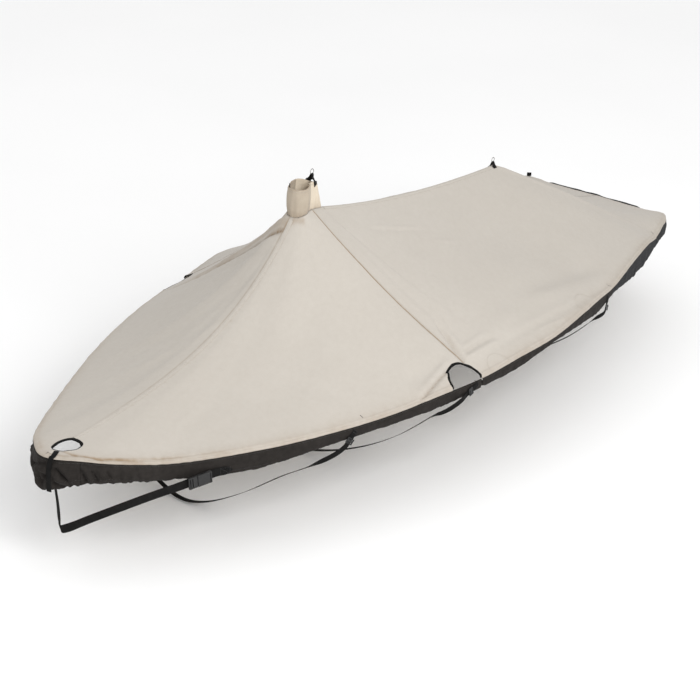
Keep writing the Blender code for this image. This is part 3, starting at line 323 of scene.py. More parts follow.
def fore_head(side, k):
    """Heads and bends of the fore ribs, k from 0 at the stem to 1 at the side seam."""
    head = collar_point(SIDE_SEAM_T * k ** 0.8, side, swell=COLLAR_CLEAR)
    return head, blend_bend(k, BEND_FORE, BEND_FORE_MID, BEND_SIDE)


def fore_surface(side, k, v):
    s = EDGES[side].girth_at_x(SIDE_SEAM_X) * k
    s[-1] -= GAP / 2
    head, bend = fore_head(side, k)
    head[0, 1] = 0.0
    points = rib_surface(side, s, head, bend, v)
    reach = np.interp(v, (0, 0.04, 0.10, 0.18, 0.94, 1.0), (0, 1 / 3, 2 / 3, 1, 1, 2 / 3))
    reach = np.concatenate((reach, np.linspace(2 / 3, 0, LIP_STEPS + 1)[1:]))
    points[..., 2] += CENTRE_RIDGE * reach * np.exp(-np.abs(points[..., 1]) / CENTRE_RIDGE_WIDE)
    points[0, :, 1] = GAP / 2 * side
    return points, s


def aft_surface(side, k, k_stern, v):
    edge = EDGES[side]
    s_seam, s_quarter = edge.girth_at_x(SIDE_SEAM_X), edge.girth_at_x(QUARTER_X)
    t = SIDE_SEAM_T + (1.0 - SIDE_SEAM_T) * np.minimum(k / COLLAR_SHARE, 1.0)
    head = collar_point(t, side, swell=COLLAR_CLEAR)
    on_ridge = k >= COLLAR_SHARE
    head[on_ridge] = ridge_point((k[on_ridge] - COLLAR_SHARE) / (1.0 - COLLAR_SHARE), side)
    s = s_seam + (s_quarter - s_seam) * k
    s[0] += GAP / 2
    stern_head = ridge_point(1.0, side) + np.stack((0.006 * k_stern, 0 * k_stern, -0.001 * k_stern), 1)
    s = np.concatenate((s, s_quarter + (edge.length - s_quarter) * k_stern))
    bend = np.concatenate((blend_bend(k, BEND_SIDE, BEND_AFT, BEND_AFT, BEND_CREASE),
                           blend_bend(k_stern, BEND_CREASE, BEND_STERN, BEND_STERN)))
    points = rib_surface(side, s, np.concatenate((head, stern_head)), bend, v)
    fall = np.concatenate((0 * k, np.interp(k_stern, *np.transpose(FACET_FALL))))[:, None]
    points[:, :len(v), 2] -= fall * ramp(np.sin(np.pi * v[None] ** 1.5))
    points[-1, :, 1] = GAP / 2 * side
    return points, s


def crossed(grid):
    """Normals of a grid of points, not yet of unit length."""
    return np.cross(np.gradient(grid, axis=1), np.gradient(grid, axis=0))


def turned(normals, flip):
    return unit(-normals if flip else normals)


def grid_normals(points, side):
    """Outward unit normals of a grid whose rows run bow to stern and columns head to foot."""
    n = crossed(points) * -side
    size = np.linalg.norm(n, axis=-1)
    weak = size < 1e-3 * np.median(size)
    n = unit(n)
    for c in range(n.shape[1] - 2, -1, -1):
        n[:, c][weak[:, c]] = n[:, c + 1][weak[:, c]]
    return n


# ---------------------------------------------------------------- mesh making
PIECES = bpy.data.collections.new("cover_looks")
bpy.context.scene.collection.children.link(PIECES)


def add_piece(name, points, faces, material, uv=None, soil_and_shade=None, replaces=(), slot=None):
    """Mesh piece from points in boat coordinates."""
    mesh = bpy.data.meshes.new(name)
    placed = np.asarray(points, float).reshape(-1, 3) + BOAT
    mesh.from_pydata(placed.tolist(), [], faces if isinstance(faces, list) else faces.tolist())
    if uv is not None:
        order = np.empty(len(mesh.loops), dtype=np.int32)
        mesh.loops.foreach_get("vertex_index", order)
        layer = mesh.uv_layers.new(name="UVMap")
        layer.data.foreach_set("uv", np.asarray(uv, np.float32).reshape(-1, 2)[order].ravel())
    # per-point amounts of soil and painted shade
    if soil_and_shade is not None:
        attr = mesh.attributes.new("soil_and_shade", "FLOAT", "POINT")
        attr.data.foreach_set("value", np.asarray(soil_and_shade, np.float32).ravel())
    mesh.shade_smooth()
    mesh.materials.append(material)
    mesh.validate()
    obj = bpy.data.objects.new(name, mesh)
    PIECES.objects.link(obj)
    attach(obj, "root")
    if replaces:
        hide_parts(*replaces)
    return obj


def quads(rows, columns, base=0, flip=False):
    """Faces of a grid of points, turned over if flip."""
    r, c = np.meshgrid(np.arange(rows - 1), np.arange(columns - 1), indexing="ij")
    a = (r * columns + c).ravel() + base
    order = (a, a + 1, a + columns + 1, a + columns)
    return np.stack(order[::-1] if flip else order, 1)


def tube_faces(count, sides, closed):
    """Faces of a tube of count rings, the last ring joined to the first if closed."""
    return [(i * sides + q, i * sides + (q + 1) % sides, (i + 1) % count * sides + (q + 1) % sides,
             (i + 1) % count * sides + q)
            for i in range(count if closed else count - 1) for q in range(sides)]


def in_polygon(points, polygon):
    """Which points lie inside a closed polygon."""
    inside = np.zeros(len(points), bool)
    x, y = points.T
    for (ax, ay), (bx, by) in zip(polygon, np.roll(polygon, -1, axis=0)):
        if ay != by:
            inside ^= ((ay > y) != (by > y)) & (x < (bx - ax) * (y - ay) / (by - ay) + ax)
    return inside


def nearest_on_loop(points, polygon):
    """The nearest point of a closed polygon to each point."""
    ab = np.roll(polygon, -1, axis=0) - polygon
    k = np.einsum("pie,ie->pi", points[:, None] - polygon[None], ab)
    k = ramp(k / np.maximum(1e-12, (ab ** 2).sum(1)))
    spots = polygon[None] + ab[None] * k[..., None]
    i = np.argmin(((spots - points[:, None]) ** 2).sum(-1), axis=1)
    return spots[np.arange(len(points)), i]


HOLE_MARGIN, HOLE_REACH, HOLE_SLANT = 0.03, 0.35, 0.2


def open_hole(points, normals, faces, outline, direction):
    """Take out the faces inside an outline seen along direction, and fit their rim to it."""
    lean = unit(np.asarray(direction, float))
    side_way = unit(np.cross(lean, (1.0, 0.0, 0.0)))
    basis = np.stack((np.cross(side_way, lean), side_way), 1)
    flat, loop = points @ basis, outline @ basis
    reach = np.abs(points @ lean - (outline @ lean).mean()) < HOLE_REACH
    middle = flat[faces].mean(1)
    close = np.all((middle > loop.min(0) - HOLE_MARGIN) & (middle < loop.max(0) + HOLE_MARGIN), axis=1)
    close &= reach[faces[:, 0]]
    gone = np.zeros(len(faces), bool)
    gone[close] = in_polygon(middle[close], loop)
    kept = faces[~gone]
    rim = np.intersect1d(np.unique(faces[gone]), np.unique(kept))
    if len(rim):
        move = (nearest_on_loop(flat[rim], loop) - flat[rim]) @ basis.T
        facing = normals[rim] @ lean
        facing = np.where(np.abs(facing) < HOLE_SLANT, HOLE_SLANT, facing)
        slide = -(normals[rim] * move).sum(1) / facing
        points[rim] += move + lean * slide[:, None]
    return kept


def sheet_piece(name, points, normals, side, thickness, material, uv, soil_and_shade=None, fine=0.0,
                holes=(), **facts):
    """Cloth with an outer face on every grid point and an inner face on every second one."""
    rows, columns = points.shape[:2]
    assert rows % 2 == 1 and columns % 2 == 1, name
    flip = side == STARBOARD
    outer = points + normals * thickness + normals * np.asarray(fine)[..., None]
    outer, n_out = outer.reshape(-1, 3), normals.reshape(-1, 3)
    inner = points[::2, ::2].reshape(-1, 3).copy()
    n_in = normals[::2, ::2].reshape(-1, 3)
    base, half_rows, half_columns = len(outer), (rows + 1) // 2, (columns + 1) // 2
    faces_out, faces_in = quads(rows, columns, 0, flip), quads(half_rows, half_columns, 0, not flip)
    for outline, direction in holes:
        faces_out = open_hole(outer, n_out, faces_out, outline, direction)
        faces_in = open_hole(inner, n_in, faces_in, outline, direction)
    faces = faces_out.tolist() + (faces_in + base).tolist()
    left_out, left_in = set(faces_out.ravel().tolist()), set(faces_in.ravel().tolist())
    grid_out = np.arange(rows * columns).reshape(rows, columns)
    grid_in = np.arange(half_rows * half_columns).reshape(half_rows, half_columns)
    rims = ((np.s_[0], flip), (np.s_[-1], not flip), (np.s_[:, 0], not flip), (np.s_[:, -1], flip))
    for rim, turn in rims:
        run_out, run_in = grid_out[rim].tolist(), grid_in[rim].tolist()
        for i in range(len(run_in) - 1):
            five, two = run_out[2 * i:2 * i + 3], [run_in[i + 1], run_in[i]]
            if left_out.issuperset(five) and left_in.issuperset(two):
                ring = five + [base + q for q in two]
                faces.append(ring if turn else ring[::-1])

    def both(values, width):
        return np.concatenate((values.reshape(-1, width), values[::2, ::2].reshape(-1, width)))

    obj = add_piece(name, np.concatenate((outer, inner)), faces, material, both(uv, 2),
                    None if soil_and_shade is None else both(soil_and_shade, 1), **facts)
    tree = BVHTree.FromPolygons(outer.tolist(), faces_out.tolist())
    return obj, outer.reshape(rows, columns, 3), tree


def plane_uv(points):
    """Weave coordinates in metres: the grid seen square on to its own mean plane."""
    flat = points.reshape(-1, 3)
    normal = np.linalg.svd((flat - flat.mean(0))[::7], full_matrices=False)[2][2]
    u = unit(np.array((1.0, 0.0, 0.0)) - normal * normal[0])
    return (points - flat.mean(0)) @ np.stack((u, np.cross(normal, u)), 1)


# ---------------------------------------------------------------- materials
class Surface:
    """Material built up layer by layer from nodes; colours are red, green and blue."""

    def __init__(self, name, sockets):
        self.material = bpy.data.materials.new(name)
        self.material.use_nodes = True
        self.tree = self.material.node_tree
        self.bsdf = self.tree.nodes["Principled BSDF"]
        for key, value in sockets.items():
            self.bsdf.inputs[key].default_value = value
        coords = self.tree.nodes.new("ShaderNodeTexCoord")
        self.uv, self.place = coords.outputs["UV"], coords.outputs["Object"]

    def put(self, kind, inputs, output=0, **settings):
        node = self.tree.nodes.new(kind)
        for key, value in settings.items():
            setattr(node, key, value)
        for key, value in inputs.items():
            if isinstance(value, bpy.types.NodeSocket):
                self.tree.links.new(value, node.inputs[key])
            else:
                node.inputs[key].default_value = value
        return node.outputs[output]

    def blend(self, factor, a, b):
        a, b = ((*c, 1.0) if isinstance(c, tuple) else c for c in (a, b))
        return self.put("ShaderNodeMix", {0: factor, 6: a, 7: b}, 2, data_type="RGBA")

    def times(self, a, b):
        return self.put("ShaderNodeMath", {0: a, 1: b}, operation="MULTIPLY")

    def spread(self, value, low, high, to_low=0.0, to_high=1.0):
        ends = {"From Min": low, "From Max": high, "To Min": to_low, "To Max": to_high}
        return self.put("ShaderNodeMapRange", {"Value": value, **ends}, clamp=True)

    def noise(self, vector, scale, detail=3.0, roughness=0.5, stretch=None):
        if stretch:
            vector = self.put("ShaderNodeMapping", {"Vector": vector, "Scale": stretch})
        inputs = {"Vector": vector, "Scale": scale, "Detail": detail, "Roughness": roughness}
        return self.put("ShaderNodeTexNoise", inputs, "Fac")

    def threads(self, pitch, axis):
        """Sine ridges of one set of yarns, this far apart."""
        inputs = {"Vector": self.uv, "Scale": math.pi / 10.0 / pitch, "Distortion": 0.35,
                  "Detail": 1.0, "Detail Scale": 0.3}
        return self.put("ShaderNodeTexWave", inputs, "Fac", wave_type="BANDS",
                        bands_direction=axis, wave_profile="SIN")

    def bump(self, strength, distance, height, **under):
        inputs = {"Strength": strength, "Distance": distance, "Height": height, **under}
        return self.put("ShaderNodeBump", inputs)

    def finish(self, **outcomes):
        for key, value in outcomes.items():
            self.tree.links.new(value, self.bsdf.inputs[key.replace("_", " ")])
        return self.material


FINISH_SOCKETS = ("Roughness", "Sheen Weight", "Sheen Roughness", "Specular IOR Level")
CLOTH_FINISH = (0.86, 0.10, 0.45, 0.30)
DARK_FINISH = (0.84, 0.02, 0.40, 0.15)
TAPE_FINISH = (0.82, 0.01, 0.40, 0.10)


def woven(name, colour, deep, tint, finish, pitch, relief, patchy, soil_and_shade_colour=None):
    """Plain weave seen in the piece's own UV metres, mottled and a little faded; the per-point soil amounts
    darken it for soil and for painted shade.
    """
    m = Surface(name, dict(zip(FINISH_SOCKETS, finish)))
    warp, weft = m.times(m.threads(pitch, "X"), 0.55), m.times(m.threads(pitch, "Y"), 0.45)
    weave = m.put("ShaderNodeMath", {0: warp, 1: weft}, operation="ADD")
    broad, small = m.noise(m.place, 3.2, 4.0, 0.55), m.noise(m.place, 38.0, 3.0, 0.6)
    slub = m.noise(m.uv, 1.0, 2.0, 0.6, (9.0, 420.0, 1.0))
    mix = m.blend(m.spread(broad, 0.30, 0.72), colour, tint)
    for share in (m.spread(small, 0.35, 0.75, 0.0, patchy),
                  m.spread(slub, 0.52, 0.80, 0.0, patchy * 0.8),
                  m.spread(weave, 0.12, 0.55, 0.34, 0.0)):
        mix = m.blend(share, mix, deep)
    # mixed towards this colour by the per-point amounts: soil, and painted shade in creases, tucks, seams
    # and the lip
    if soil_and_shade_colour:
        soil_and_shade = m.put("ShaderNodeAttribute", {}, "Fac", attribute_name="soil_and_shade")
        mix = m.blend(m.times(soil_and_shade, m.spread(small, 0.25, 0.65, 0.55, 1.0)), mix, soil_and_shade_colour)
    rough = m.spread(small, 0.3, 0.7, finish[0] - 0.06, finish[0] + 0.06)
    normal = m.bump(0.20, 0.0012, m.noise(m.place, 24.0, 3.0, 0.55))
    normal = m.bump(0.6, relief, weave, Normal=normal)
    normal = m.bump(0.25, relief, m.noise(m.place, 900.0, 2.0, 0.6), Normal=normal)
    return m.finish(Base_Color=mix, Roughness=rough, Normal=normal)


def moulded(name, colour, edge_colour, roughness):
    """Moulded plastic: fine spark-eroded grain, rubbed paler in patches."""
    m = Surface(name, {"Roughness": roughness, "Specular IOR Level": 0.45, "Coat Weight": 0.04})
    scuffs = m.noise(m.place, 160.0, 4.0, 0.65, (1.0, 0.35, 1.0))
    return m.finish(
        Base_Color=m.blend(m.spread(scuffs, 0.55, 0.80, 0.0, 0.5), colour, edge_colour),
        Roughness=m.spread(scuffs, 0.3, 0.7, roughness - 0.08, roughness + 0.12),
        Normal=m.bump(0.4, 0.00012, m.noise(m.place, 2200.0, 2.0, 0.5)))


def drawn_steel(name, colour, tarnished):
    """Steel wire, streaked lengthwise by the die and tarnished in patches."""
    m = Surface(name, {"Metallic": 1.0})
    streaks = m.noise(m.place, 420.0, 3.0, 0.6, (1.0, 6.0, 1.0))
    tarnish = m.spread(m.noise(m.place, 60.0, 3.0, 0.6), 0.45, 0.75, 0.0, 0.6)
    return m.finish(Base_Color=m.blend(tarnish, colour, tarnished),
                    Roughness=m.spread(streaks, 0.3, 0.7, 0.16, 0.36),
                    Normal=m.bump(0.3, 0.00008, streaks))


def twisted_thread(name, colour, deep):
    """Spun thread with a soft sheen, its twist in relief."""
    m = Surface(name, {"Roughness": 0.62, "Sheen Weight": 0.15})
    fibre, patch = m.noise(m.place, 1500.0, 2.0, 0.6), m.noise(m.place, 30.0, 2.0, 0.5)
    return m.finish(Base_Color=m.blend(m.spread(patch, 0.3, 0.7), colour, deep),
                    Normal=m.bump(0.5, 0.0001, fibre))


# Each cloth: its colour, the deep colour between threads, the worn colour, finish, thread pitch,
# relief, mottling, and the colour that its soil and painted shade darken it towards.
CANVAS = woven("canopy_canvas", (0.465, 0.431, 0.386), (0.386, 0.351, 0.306), (0.479, 0.446, 0.401),
               CLOTH_FINISH, 0.0009, 0.00016, 0.18, (0.281, 0.208, 0.140))
# The collar's own tan, darkened on the wrap for painted shade and lightened on the gusset for painted light
# where it faces the lamp.
COLLAR_CANVAS_SHADED = woven("collar_canvas_shaded", (0.414, 0.355, 0.282), (0.310, 0.252, 0.190),
                      (0.440, 0.385, 0.312), CLOTH_FINISH, 0.0009, 0.00016, 0.22,
                      (0.235, 0.170, 0.115))
GUSSET_CANVAS_LIT = woven("gusset_canvas_lit", (0.655, 0.570, 0.450), (0.520, 0.440, 0.340),
                      (0.690, 0.610, 0.500), CLOTH_FINISH, 0.0009, 0.00016, 0.22,
                      (0.270, 0.195, 0.130))
SKIRT_FABRIC = woven("skirt_fabric", (0.0186, 0.0158, 0.0138), (0.0084, 0.0072, 0.0064),
                     (0.0285, 0.0245, 0.0218), DARK_FINISH, 0.0008, 0.00018, 0.50)
# The aft lengths' fabric, paler and bluer than the rest: painted sky reflection.
SKIRT_PAINTED_REFLECTION = woven("skirt_fabric_painted_reflection", (0.0240, 0.0246, 0.0262), (0.0114, 0.0116, 0.0122),
                    (0.0350, 0.0356, 0.0375), TAPE_FINISH, 0.0008, 0.00018, 0.50)
BLACK_TAPE = woven("black_webbing", (0.0062, 0.0060, 0.0058), (0.0030, 0.0030, 0.0030),
                   (0.0135, 0.0130, 0.0125), TAPE_FINISH, 0.0016, 0.00035, 0.50)
PALE_THREAD = twisted_thread("pale_thread", (0.470, 0.425, 0.365), (0.330, 0.290, 0.240))
DARK_THREAD = twisted_thread("dark_thread", (0.013, 0.012, 0.011), (0.006, 0.0055, 0.005))
PLASTIC = moulded("black_acetal", (0.0070, 0.0070, 0.0073), (0.0240, 0.0235, 0.0230), 0.42)
STEEL = drawn_steel("ring_steel", (0.36, 0.36, 0.35), (0.20, 0.19, 0.17))


# ---------------------------------------------------------------- canopy
# Main creases, sharper than the broad folds.
# columns: x_from, y_from, x_to, y_to, width, height
CREASES = {
    PORT: (
        (1.430, 0.768, 1.640, 0.742, 0.006, -0.0120),     # ahead of the shroud opening
        (1.480, 0.740, 1.660, 0.712, 0.013, 0.0060),
        (1.786, 0.600, 1.762, 0.730, 0.011, -0.0120),     # beside the seam, above the opening
        (1.822, 0.590, 1.792, 0.720, 0.012, 0.0040),
        (1.722, 0.300, 1.800, 0.650, 0.014, 0.0016),     # tension line aft of the side seam
        (1.752, 0.300, 1.828, 0.640, 0.016, -0.0014), (1.973, 0.119, 2.171, 0.153, 0.009, 0.0026),
        (1.955, 0.136, 2.190, 0.172, 0.010, -0.0018), (2.252, 0.239, 2.345, 0.264, 0.009, 0.0022),
        (1.907, 0.525, 1.804, 0.685, 0.024, 0.0038),
        (1.812, 0.748, 1.975, 0.760, 0.010, 0.0070),     # aft of the opening
        (1.820, 0.728, 1.960, 0.736, 0.010, -0.0070), (1.830, 0.706, 1.940, 0.706, 0.010, 0.0040),
        (2.034, 0.782, 2.600, 0.792, 0.018, -0.0036),     # along the aft edge
        (2.150, 0.762, 2.560, 0.770, 0.020, 0.0030), (2.306, 0.812, 2.453, 0.822, 0.008, 0.0030),
        (2.650, 0.786, 2.996, 0.752, 0.016, -0.0042), (3.040, 0.730, 3.560, 0.610, 0.016, -0.0026),
        (1.090, 0.330, 1.180, 0.560, 0.020, 0.0014),     # faint, across the fore panel
        (1.030, 0.330, 1.110, 0.560, 0.022, -0.0014),
        (3.160, 0.036, 3.900, 0.566, 0.009, 0.0034),     # crest of the crease to the quarter
        (3.240, 0.060, 3.915, 0.548, 0.014, -0.0036),     # the tuck beside it
        (0.050, 0.012, 0.066, 0.084, 0.007, -0.0040),     # tucked line aft of the slit
        (0.066, 0.084, 0.118, 0.168, 0.006, -0.0036), (0.118, 0.168, 0.242, 0.261, 0.006, -0.0026),
        (1.512, 0.052, 1.470, 0.000, 0.009, -0.0030),
    ),
    STARBOARD: (
        (3.160, 0.036, 3.876, 0.552, 0.010, 0.0020),
        (1.482, 0.014, 1.592, 0.640, 0.015, 0.0080),     # roll from the collar to the shroud
        (1.506, 0.030, 1.580, 0.560, 0.008, -0.0080), (1.452, 0.160, 1.500, 0.400, 0.008, -0.0160),
        (1.450, 0.004, 1.440, 0.110, 0.007, -0.0120), (1.494, 0.360, 1.544, 0.700, 0.013, -0.0090),
        (1.412, 0.040, 1.496, 0.560, 0.013, 0.0034), (1.372, 0.080, 1.440, 0.560, 0.015, -0.0030),
        (0.640, 0.260, 1.020, 0.030, 0.030, 0.0030), (0.800, 0.330, 1.260, 0.060, 0.034, -0.0034),
        (0.900, 0.400, 1.400, 0.080, 0.028, 0.0030), (2.200, 0.600, 2.900, 0.520, 0.030, 0.0030),
    ),
}
# Lines of painted shade where the cloth is tucked in or folds away from the light.
# columns: x_from, y_from, x_to, y_to, width, amount
CREASE_SHADE = {
    PORT: (
        (0.050, 0.012, 0.066, 0.084, 0.0075, 0.85), (0.066, 0.084, 0.118, 0.168, 0.0060, 0.70),
        (0.118, 0.168, 0.242, 0.261, 0.0055, 0.50), (1.510, 0.050, 1.470, 0.000, 0.0100, 0.50),
        (1.450, 0.765, 1.620, 0.744, 0.0036, 0.45), (1.790, 0.640, 1.764, 0.725, 0.0070, 0.15),
    ),
    STARBOARD: (
        (1.450, 0.000, 1.441, 0.110, 0.0070, 1.30), (1.450, 0.150, 1.502, 0.400, 0.0070, 1.20),
        (1.512, 0.020, 1.560, 0.420, 0.0060, 0.80), (1.500, 0.370, 1.548, 0.680, 0.0100, 0.75),
        (1.470, 0.010, 1.566, 0.560, 0.0230, 0.50),
    ),
}
RIPPLE_FROM, RIPPLE_TO, RIPPLE_PITCH, RIPPLE_DEPTH = 0.330, 0.700, 0.047, 0.0030
# Along the canopy's edge, painted shade in the tucked line above the lip, and wear with painted shade where
# the rim turns down: distance from the stem, and amount.
LIP_SHADE = ((0.02, 0.12, 0.30, 0.70, 1.2), (0.5, 1.2, 0.75, 0.16, 0.0))
RIM_WEAR_AND_SHADE = ((0.0, 0.4, 0.8, 1.8, 2.6), (0.40, 0.42, 0.42, 0.32, 0.34))
LIP_SHADE_SHARE = {PORT: 1.0, STARBOARD: 0.25}
# Painted shade beside the centre seam: distance from it, and amount.
SEAM_SHADE = {PORT: (0.0160, 0.16), STARBOARD: (0.0060, 0.42)}
CENTRE_PUCKER = {PORT: 0.0026, STARBOARD: 0.0007}


def broad_lift(points, s, side, above):
    """Folds and unevenness that both faces of the cloth follow; above is height up the cloth."""
    lift = fold_field(CREASES[side], points[..., 0], np.abs(points[..., 1]), 0.20)
    uneven = 0.0016 * noisy(points, 0.22, 1.0) + 0.0007 * noisy(points, 0.075, 2.0)
    lift = lift + uneven * ramp(above + 0.004, 0.060)
    if side == PORT:
        reach = ramp(s - RIPPLE_FROM, 0.08) * ramp(RIPPLE_TO - s, 0.12)
        wave = np.sin(2 * np.pi * s / RIPPLE_PITCH + 1.6 * noisy_line(s, 0.11, 5.0))
        wave = RIPPLE_DEPTH * reach * wave * (0.75 + 0.5 * noisy_line(s, 0.09, 6.0))
        lift = lift + wave[:, None] * np.exp(-np.abs(above - 0.012) / 0.034)
    # small gathers that the elastic pulls in along the whole edge
    gather = noisy_line(s, 0.021, 8.0 + side) * 0.0011 + noisy_line(s, 0.055, 9.0 + side) * 0.0014
    return lift + gather[:, None] * np.exp(-np.abs(above - 0.010) / 0.022)


def lip_shape(above, s):
    """A tucked line above the lip and the lip's own fullness."""
    size = np.clip(s / 0.5, 0.25, 1.0)[:, None]
    shape = 0.0028 * bell(above - 0.011 * size, 0.0075) - 0.0034 * bell(above - 0.024 * size, 0.0055)
    return shape * size * (1.0 - 0.75 * ramp(s - 0.45, 0.35))[:, None]


def pucker(along, offset, side, strength):
    """Short strokes that a tight seam draws in the cloth beside it."""
    phase = 2 * np.pi * along / 0.027 + 3.2 * noisy_line(along, 0.060, 11.0 + side)
    depth = 0.35 + 0.65 * np.clip(0.5 + noisy_line(along, 0.085, 13.0 + side), 0, 1.2)
    fade = np.exp(-((np.maximum(0.0, offset - 0.006) / 0.024) ** 1.3))
    return -strength * depth * np.maximum(0.0, np.cos(phase)) ** 2.2 * fade


def offset_from_side_seam(points, side):
    """Distance in plan from the seam between the collar and the shroud."""
    start = collar_point(SIDE_SEAM_T, side)[:2]
    along = unit(edge_at_x(side, SIDE_SEAM_X)[0][:2] - start)
    x, y = np.moveaxis(points[..., :2] - start, -1, 0)
    return np.abs(x * along[1] - y * along[0])


def build_panel(part, points, s, side, holes):
    """Panel of the canopy: its folds, its fine puckers, and the soil and painted shade along edges, seams
    and creases.
    """
    normals = grid_normals(points, side)
    steps = np.linalg.norm(np.diff(points, axis=1), axis=-1)
    run = np.concatenate((np.zeros((len(points), 1)), np.cumsum(steps, axis=1)), axis=1)
    above = run[:, -1:] - run
    x, offset = points[..., 0], np.abs(points[..., 1])
    lift = (broad_lift(points, s, side, above) + lip_shape(above, s)) * ramp(run, 0.05)
    lift = np.where(lift < 0, lift * ramp(above, 0.006), lift) * ramp(offset, 0.03)
    moved = points + normals * lift[..., None]
    normals = grid_normals(moved, side)
    small = noisy_line(s, 0.10, 21.0 + side)[:, None]
    # painted shade in the tucked line above the lip, weaker on the starboard side
    narrow = np.interp(s, *LIP_SHADE)[:, None] * LIP_SHADE_SHARE[side]
    soil_and_shade = narrow * bell(above - 0.023, 0.0075) * ramp(0.62 + 0.5 * small)
    # wear and painted shade on the rim where the cloth turns down over the gunwale
    rim = np.interp(s, *RIM_WEAR_AND_SHADE)[:, None] * (1 + 0.25 * small)
    soil_and_shade = soil_and_shade + rim * np.exp(-((above / 0.040) ** 1.5))
    # painted shade along the creases and tucks
    soil_and_shade = soil_and_shade + fold_field(CREASE_SHADE[side], x, offset, 0.12)
    if part == "fore":
        here = ramp(x - 0.22, 0.25) * ramp(1.46 - x, 0.25)
        fine = pucker(run, offset, side, CENTRE_PUCKER[side]) * (0.35 + 0.65 * here)
        # painted shade beside the centre seam
        beside, amount = SEAM_SHADE[side]
        soil_and_shade = soil_and_shade + bell(offset - beside, 0.0045) * amount * ramp(x - 0.2, 0.3)
    else:
        fine = pucker(x, offset, side, 0.0006)
    fine = fine + pucker(run, offset_from_side_seam(points, side), side, 0.0005)
    fine = fine + 0.00018 * noisy(points, 0.012, 4.0)
    # painted shade in the troughs of the puckers beside the centre seam
    if part == "fore" and side == PORT:
        soil_and_shade = soil_and_shade - 110.0 * np.minimum(0.0, fine + 0.0004) * here
    name = "canopy_%s_%s" % (part, WORDS[side])
    return sheet_piece("cloth_" + name, moved, normals, side, CLOTH, CANVAS, plane_uv(points), soil_and_shade,
                       fine, holes, replaces=[name], slot="canopy_cloth")


def forestay_outline(grow, fineness=5):
    closed = FORESTAY_OUTLINE[-2:] + FORESTAY_OUTLINE + FORESTAY_OUTLINE[:3]
    line = spline(closed, fineness)[2 * fineness:(2 + len(FORESTAY_OUTLINE)) * fineness][::-1]
    along = np.roll(line, -1, axis=0) - np.roll(line, 1, axis=0)
    away = unit(np.stack((along[:, 1], -along[:, 0]), 1))
    return np.concatenate((line + away * grow, np.full((len(line), 1), 0.05)), 1)


def shroud_outline(side, grow, lowest):
    """Outline of the opening, its heights measured up the cloth from the edge."""
    line = spline(SHROUD_OUTLINE, 5)
    line = np.concatenate(([(line[0, 0], lowest)], line, [(line[-1, 0], lowest)]))
    away = line - SHROUD_CENTRE
    away[:, 1] = np.maximum(0, away[:, 1])
    along, height = (line + grow * unit(away)).T
    s = EDGES[side].girth_at_x(SHROUD_X) + along
    head, bend = fore_head(side, np.minimum(s / EDGES[side].girth_at_x(SIDE_SEAM_X), 1.0))
    ribs = rib_surface(side, s, head, bend, np.linspace(0, 1, RIB_POINTS))[:, ::-1]
    return np.array([read_at(max(up, 0.0), run_of(rib), rib) + UP * min(up, 0.0)
                     for rib, up in zip(ribs, height)])


def shroud_lean(side):
    return np.array((0.0, SHROUD_LEAN[1] * side, SHROUD_LEAN[2]))


def denser(shares, total):
    """Shares split evenly so that there are total + 1 of them."""
    places = np.linspace(0, len(shares) - 1, total + 1)
    return np.interp(places, np.arange(len(shares)), shares)


FORE_SHARES = (0.0, 0.006, 0.012, 0.020, 0.031, 0.047, 0.072, 0.108, 0.15, 0.20, 0.25, 0.30,
               0.35, 0.40, 0.45, 0.50, 0.56, 0.62, 0.68, 0.74, 0.80, 0.86, 0.91, 0.95, 1.0)
AFT_SHARES = (0.0, 0.03, 0.06, 0.10, 0.15, 0.21, 0.28, 0.35, 0.42, 0.49, 0.56, 0.63, 0.70,
              0.77, 0.84, 0.90, 0.95, 1.0)
STERN_SHARES = (0.0, 0.10, 0.20, 0.32, 0.42, 0.50, 0.57, 0.65, 0.76, 0.88, 1.0)
# columns: ribs on the fore panel, points on each, ribs and stern ribs on the aft, points on each
GRID = {PORT: (156, 300, 150, 40, 170), STARBOARD: (96, 200, 100, 32, 130)}

TREES, OUTERS, CANOPY = {}, {}, {}
for SIDE in (PORT, STARBOARD):
    fore_ribs, fore_points, aft_ribs, stern_ribs, aft_points = GRID[SIDE]
    fore = fore_surface(SIDE, denser(FORE_SHARES, fore_ribs), np.linspace(0, 1, fore_points + 1) ** 0.96)
    aft = aft_surface(SIDE, denser(AFT_SHARES, aft_ribs), denser(STERN_SHARES, stern_ribs)[1:],
                      np.linspace(0, 1, aft_points + 1))
    forestay = (forestay_outline(HOLE_GROW), UP)
    shroud = (shroud_outline(SIDE, HOLE_GROW, SHROUD_FOOT), shroud_lean(SIDE))
    for part, surface, holes in (("fore", fore, (forestay, shroud)), ("aft", aft, (shroud,))):
        made = build_panel(part, *surface, SIDE, holes)
        CANOPY[part, SIDE], OUTERS[part, SIDE], TREES[part, SIDE] = made


# ---------------------------------------------------------------- laying things on the cloth
def drop_on(tree, point, direction=-UP):
    hit, normal, _, _ = tree.ray_cast(Vector(point), Vector(direction))
    if hit is None:
        return None, None
    normal = np.array(normal)
    return np.array(hit), -normal if normal @ direction > 0 else normal


def nearest_cloth(side, point):
    found = [TREES[part, side].find_nearest(Vector(point)) for part in ("fore", "aft")]
    hit = min(found, key=lambda f: f[3])
    return np.array(hit[0]), np.array(hit[1])


